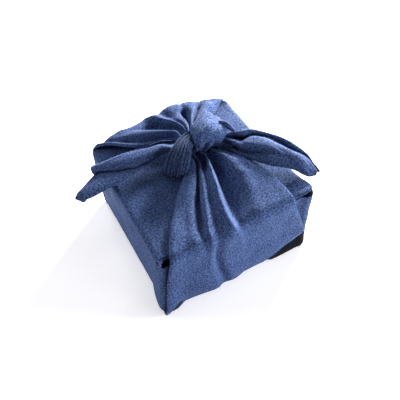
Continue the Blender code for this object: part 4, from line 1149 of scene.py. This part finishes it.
def floor_finish():
    """A pale table with a faint grain."""
    material, tree, shader = new_finish("pale_table")
    where = node(tree, "ShaderNodeTexCoord").outputs["Object"]
    grain = noise(tree, where, 6.0, 3.0, 0.5)
    colour = mix(tree, grain, (0.90, 0.885, 0.905, 1.0), (0.93, 0.92, 0.935, 1.0))
    tree.links.new(colour, shader.inputs["Base Color"])
    shader.inputs["Roughness"].default_value = 0.7
    # a light table: it glows a little, so the walls of the wrap are lit from below
    tree.links.new(colour, shader.inputs["Emission Color"])
    shader.inputs["Emission Strength"].default_value = 0.45
    return material


def thread_finish():
    """Navy sewing thread with a little twist in its colour."""
    material, tree, shader = new_finish("navy_thread")
    where = node(tree, "ShaderNodeTexCoord").outputs["Object"]
    twist = noise(tree, where, 2600.0, 2.0, 0.5)
    colour = mix(tree, twist, (0.006, 0.012, 0.045, 1.0), (0.030, 0.052, 0.140, 1.0))
    tree.links.new(colour, shader.inputs["Base Color"])
    tree.links.new(spread(tree, twist, 0.0, 1.0, 0.75, 0.55), shader.inputs["Roughness"])
    shader.inputs["Specular IOR Level"].default_value = 0.25
    return material


def stitch_tree():
    """Geometry nodes that lay short stitches along each seam line."""
    tree = bpy.data.node_groups.new("hem_stitches", "GeometryNodeTree")
    tree.is_modifier = True
    face = tree.interface
    face.new_socket("Seam", in_out="INPUT", socket_type="NodeSocketGeometry")
    for name, kind in (("Pitch", "Float"), ("Stitch Length", "Float"), ("Thread Width", "Float"),
                       ("Seed", "Int"), ("Thread", "Material")):
        face.new_socket(name, in_out="INPUT", socket_type="NodeSocket" + kind)
    face.new_socket("Stitches", in_out="OUTPUT", socket_type="NodeSocketGeometry")
    given = node(tree, "NodeGroupInput").outputs
    line = node(tree, "GeometryNodeMeshToCurve")
    cut = node(tree, "GeometryNodeResampleCurve")
    cut.mode = "LENGTH"
    stitch = node(tree, "GeometryNodeMeshCylinder")
    stitch.inputs["Vertices"].default_value = 6
    thin = maths(tree, "MULTIPLY", given["Thread Width"], 0.5)
    turn = node(tree, "FunctionNodeAlignRotationToVector", axis="Z")
    uneven = node(tree, "FunctionNodeRandomValue", data_type="FLOAT")
    uneven.inputs[2].default_value, uneven.inputs[3].default_value = 0.82, 1.08
    place = node(tree, "GeometryNodeInstanceOnPoints")
    real = node(tree, "GeometryNodeRealizeInstances")
    finish = node(tree, "GeometryNodeSetMaterial")
    link = tree.links.new
    link(given["Seam"], line.inputs["Mesh"])
    link(line.outputs["Curve"], cut.inputs["Curve"])
    link(given["Pitch"], cut.inputs["Length"])
    link(thin, stitch.inputs["Radius"])
    link(given["Stitch Length"], stitch.inputs["Depth"])
    link(node(tree, "GeometryNodeInputTangent").outputs["Tangent"], turn.inputs["Vector"])
    link(given["Seed"], uneven.inputs["Seed"])
    link(cut.outputs["Curve"], place.inputs["Points"])
    link(stitch.outputs["Mesh"], place.inputs["Instance"])
    link(turn.outputs["Rotation"], place.inputs["Rotation"])
    link(uneven.outputs[1], place.inputs["Scale"])
    link(place.outputs["Instances"], real.inputs["Geometry"])
    link(real.outputs["Geometry"], finish.inputs["Geometry"])
    link(given["Thread"], finish.inputs["Material"])
    link(finish.outputs["Geometry"], node(tree, "NodeGroupOutput").inputs["Stitches"])
    return tree


def sewn_hems():
    """The hem stitches as one plain mesh."""
    verts, edges = [], []
    for line in stitch_lines:
        edges += [(len(verts) + i, len(verts) + i + 1) for i in range(len(line) - 1)]
        verts += (line * MM).tolist()
    seams = bpy.data.meshes.new("seams")
    seams.from_pydata(verts, edges, [])
    thread = bpy.data.objects.new("hem_stitches", seams)
    bpy.context.scene.collection.objects.link(thread)
    modifier = thread.modifiers.new("stitches", "NODES")
    modifier.node_group = stitch_tree()
    sizes = {"Pitch": 0.0030, "Stitch Length": 0.0021, "Thread Width": 0.00042, "Seed": 7,
             "Thread": thread_finish()}
    for socket in modifier.node_group.interface.items_tree:
        if socket.name in sizes:
            modifier[socket.identifier] = sizes[socket.name]
    ready = bpy.context.evaluated_depsgraph_get()
    plain = bpy.data.meshes.new_from_object(thread.evaluated_get(ready))
    thread.modifiers.remove(modifier)
    thread.data = plain
    return thread


cloth.data.materials.append(cotton_finish())
stitches = sewn_hems()

# ---------------------------------------------------------------- table, light and camera
floor_mesh = bpy.data.meshes.new("table_top")
edge = 4.0
floor_corners = [(-edge, -edge, 0), (edge, -edge, 0), (edge, edge, 0), (-edge, edge, 0)]
floor_mesh.from_pydata(floor_corners, [], [(0, 1, 2, 3)])
floor = bpy.data.objects.new("table_top", floor_mesh)
bpy.context.scene.collection.objects.link(floor)
floor_mesh.materials.append(floor_finish())

scene = bpy.context.scene
scene.view_settings.view_transform = "Standard"
world = bpy.data.worlds.new("soft_room")
scene.world = world
world.use_nodes = True
world.node_tree.nodes["Background"].inputs["Color"].default_value = (1.0, 0.99, 1.0, 1.0)
world.node_tree.nodes["Background"].inputs["Strength"].default_value = 0.02


def soft_light(name, turn, rise, size, power, colour=(1.0, 1.0, 1.0), far=2.0):
    """A soft disc of light aimed at the wrap, at a turn from +X and a rise over the horizon."""
    target = Vector((0.0, 0.0, 0.11))
    a, e = math.radians(turn), math.radians(rise)
    place = Vector((far * math.cos(a) * math.cos(e), far * math.sin(a) * math.cos(e),
                    0.11 + far * math.sin(e)))
    lamp = bpy.data.lights.new(name, "AREA")
    lamp.shape = "DISK"
    lamp.size = size
    lamp.energy = power
    lamp.color = colour
    obj = bpy.data.objects.new(name, lamp)
    obj.location = place
    obj.rotation_euler = (target - place).to_track_quat("-Z", "Y").to_euler()
    scene.collection.objects.link(obj)


soft_light("window", 34.0, 15.0, 0.36, 112.0, (1.0, 0.93, 0.84), 1.25)
soft_light("right_wall", 330.0, 12.0, 0.8, 50.0)
soft_light("front_wall", 300.0, 12.0, 0.8, 14.0)
soft_light("left_wall", 150.0, 28.0, 0.8, 12.0)
soft_light("left_floor", 185.0, 5.0, 0.8, 12.0)
soft_light("back_wall", 90.0, 35.0, 0.8, 14.0)
soft_light("ceiling", 0.0, 90.0, 0.8, 4.0)

SENSOR_WIDTH, LENS_LENGTH = 36.0, 43.2
CAMERA_TURN, CAMERA_RISE, CAMERA_ROLL = math.radians(-26.5), math.radians(51.0), math.radians(-3.4)
CAMERA_DISTANCE, CAMERA_TARGET = 0.63, Vector((0.001, -0.005, 0.05))
back = Vector((math.sin(CAMERA_TURN) * math.cos(CAMERA_RISE),
               -math.cos(CAMERA_TURN) * math.cos(CAMERA_RISE), math.sin(CAMERA_RISE)))
lens = bpy.data.cameras.new("camera")
lens.sensor_width = SENSOR_WIDTH
lens.lens = LENS_LENGTH
camera = bpy.data.objects.new("camera", lens)
scene.collection.objects.link(camera)
camera.location = CAMERA_TARGET + back * CAMERA_DISTANCE
turned = (-back).to_track_quat("-Z", "Y").to_matrix()
camera.rotation_euler = (turned @ Matrix.Rotation(CAMERA_ROLL, 3, "Z")).to_euler()
scene.camera = camera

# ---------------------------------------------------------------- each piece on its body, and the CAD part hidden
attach(cloth, "root")
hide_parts("wrapping_cloth")
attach(stitches, "root")
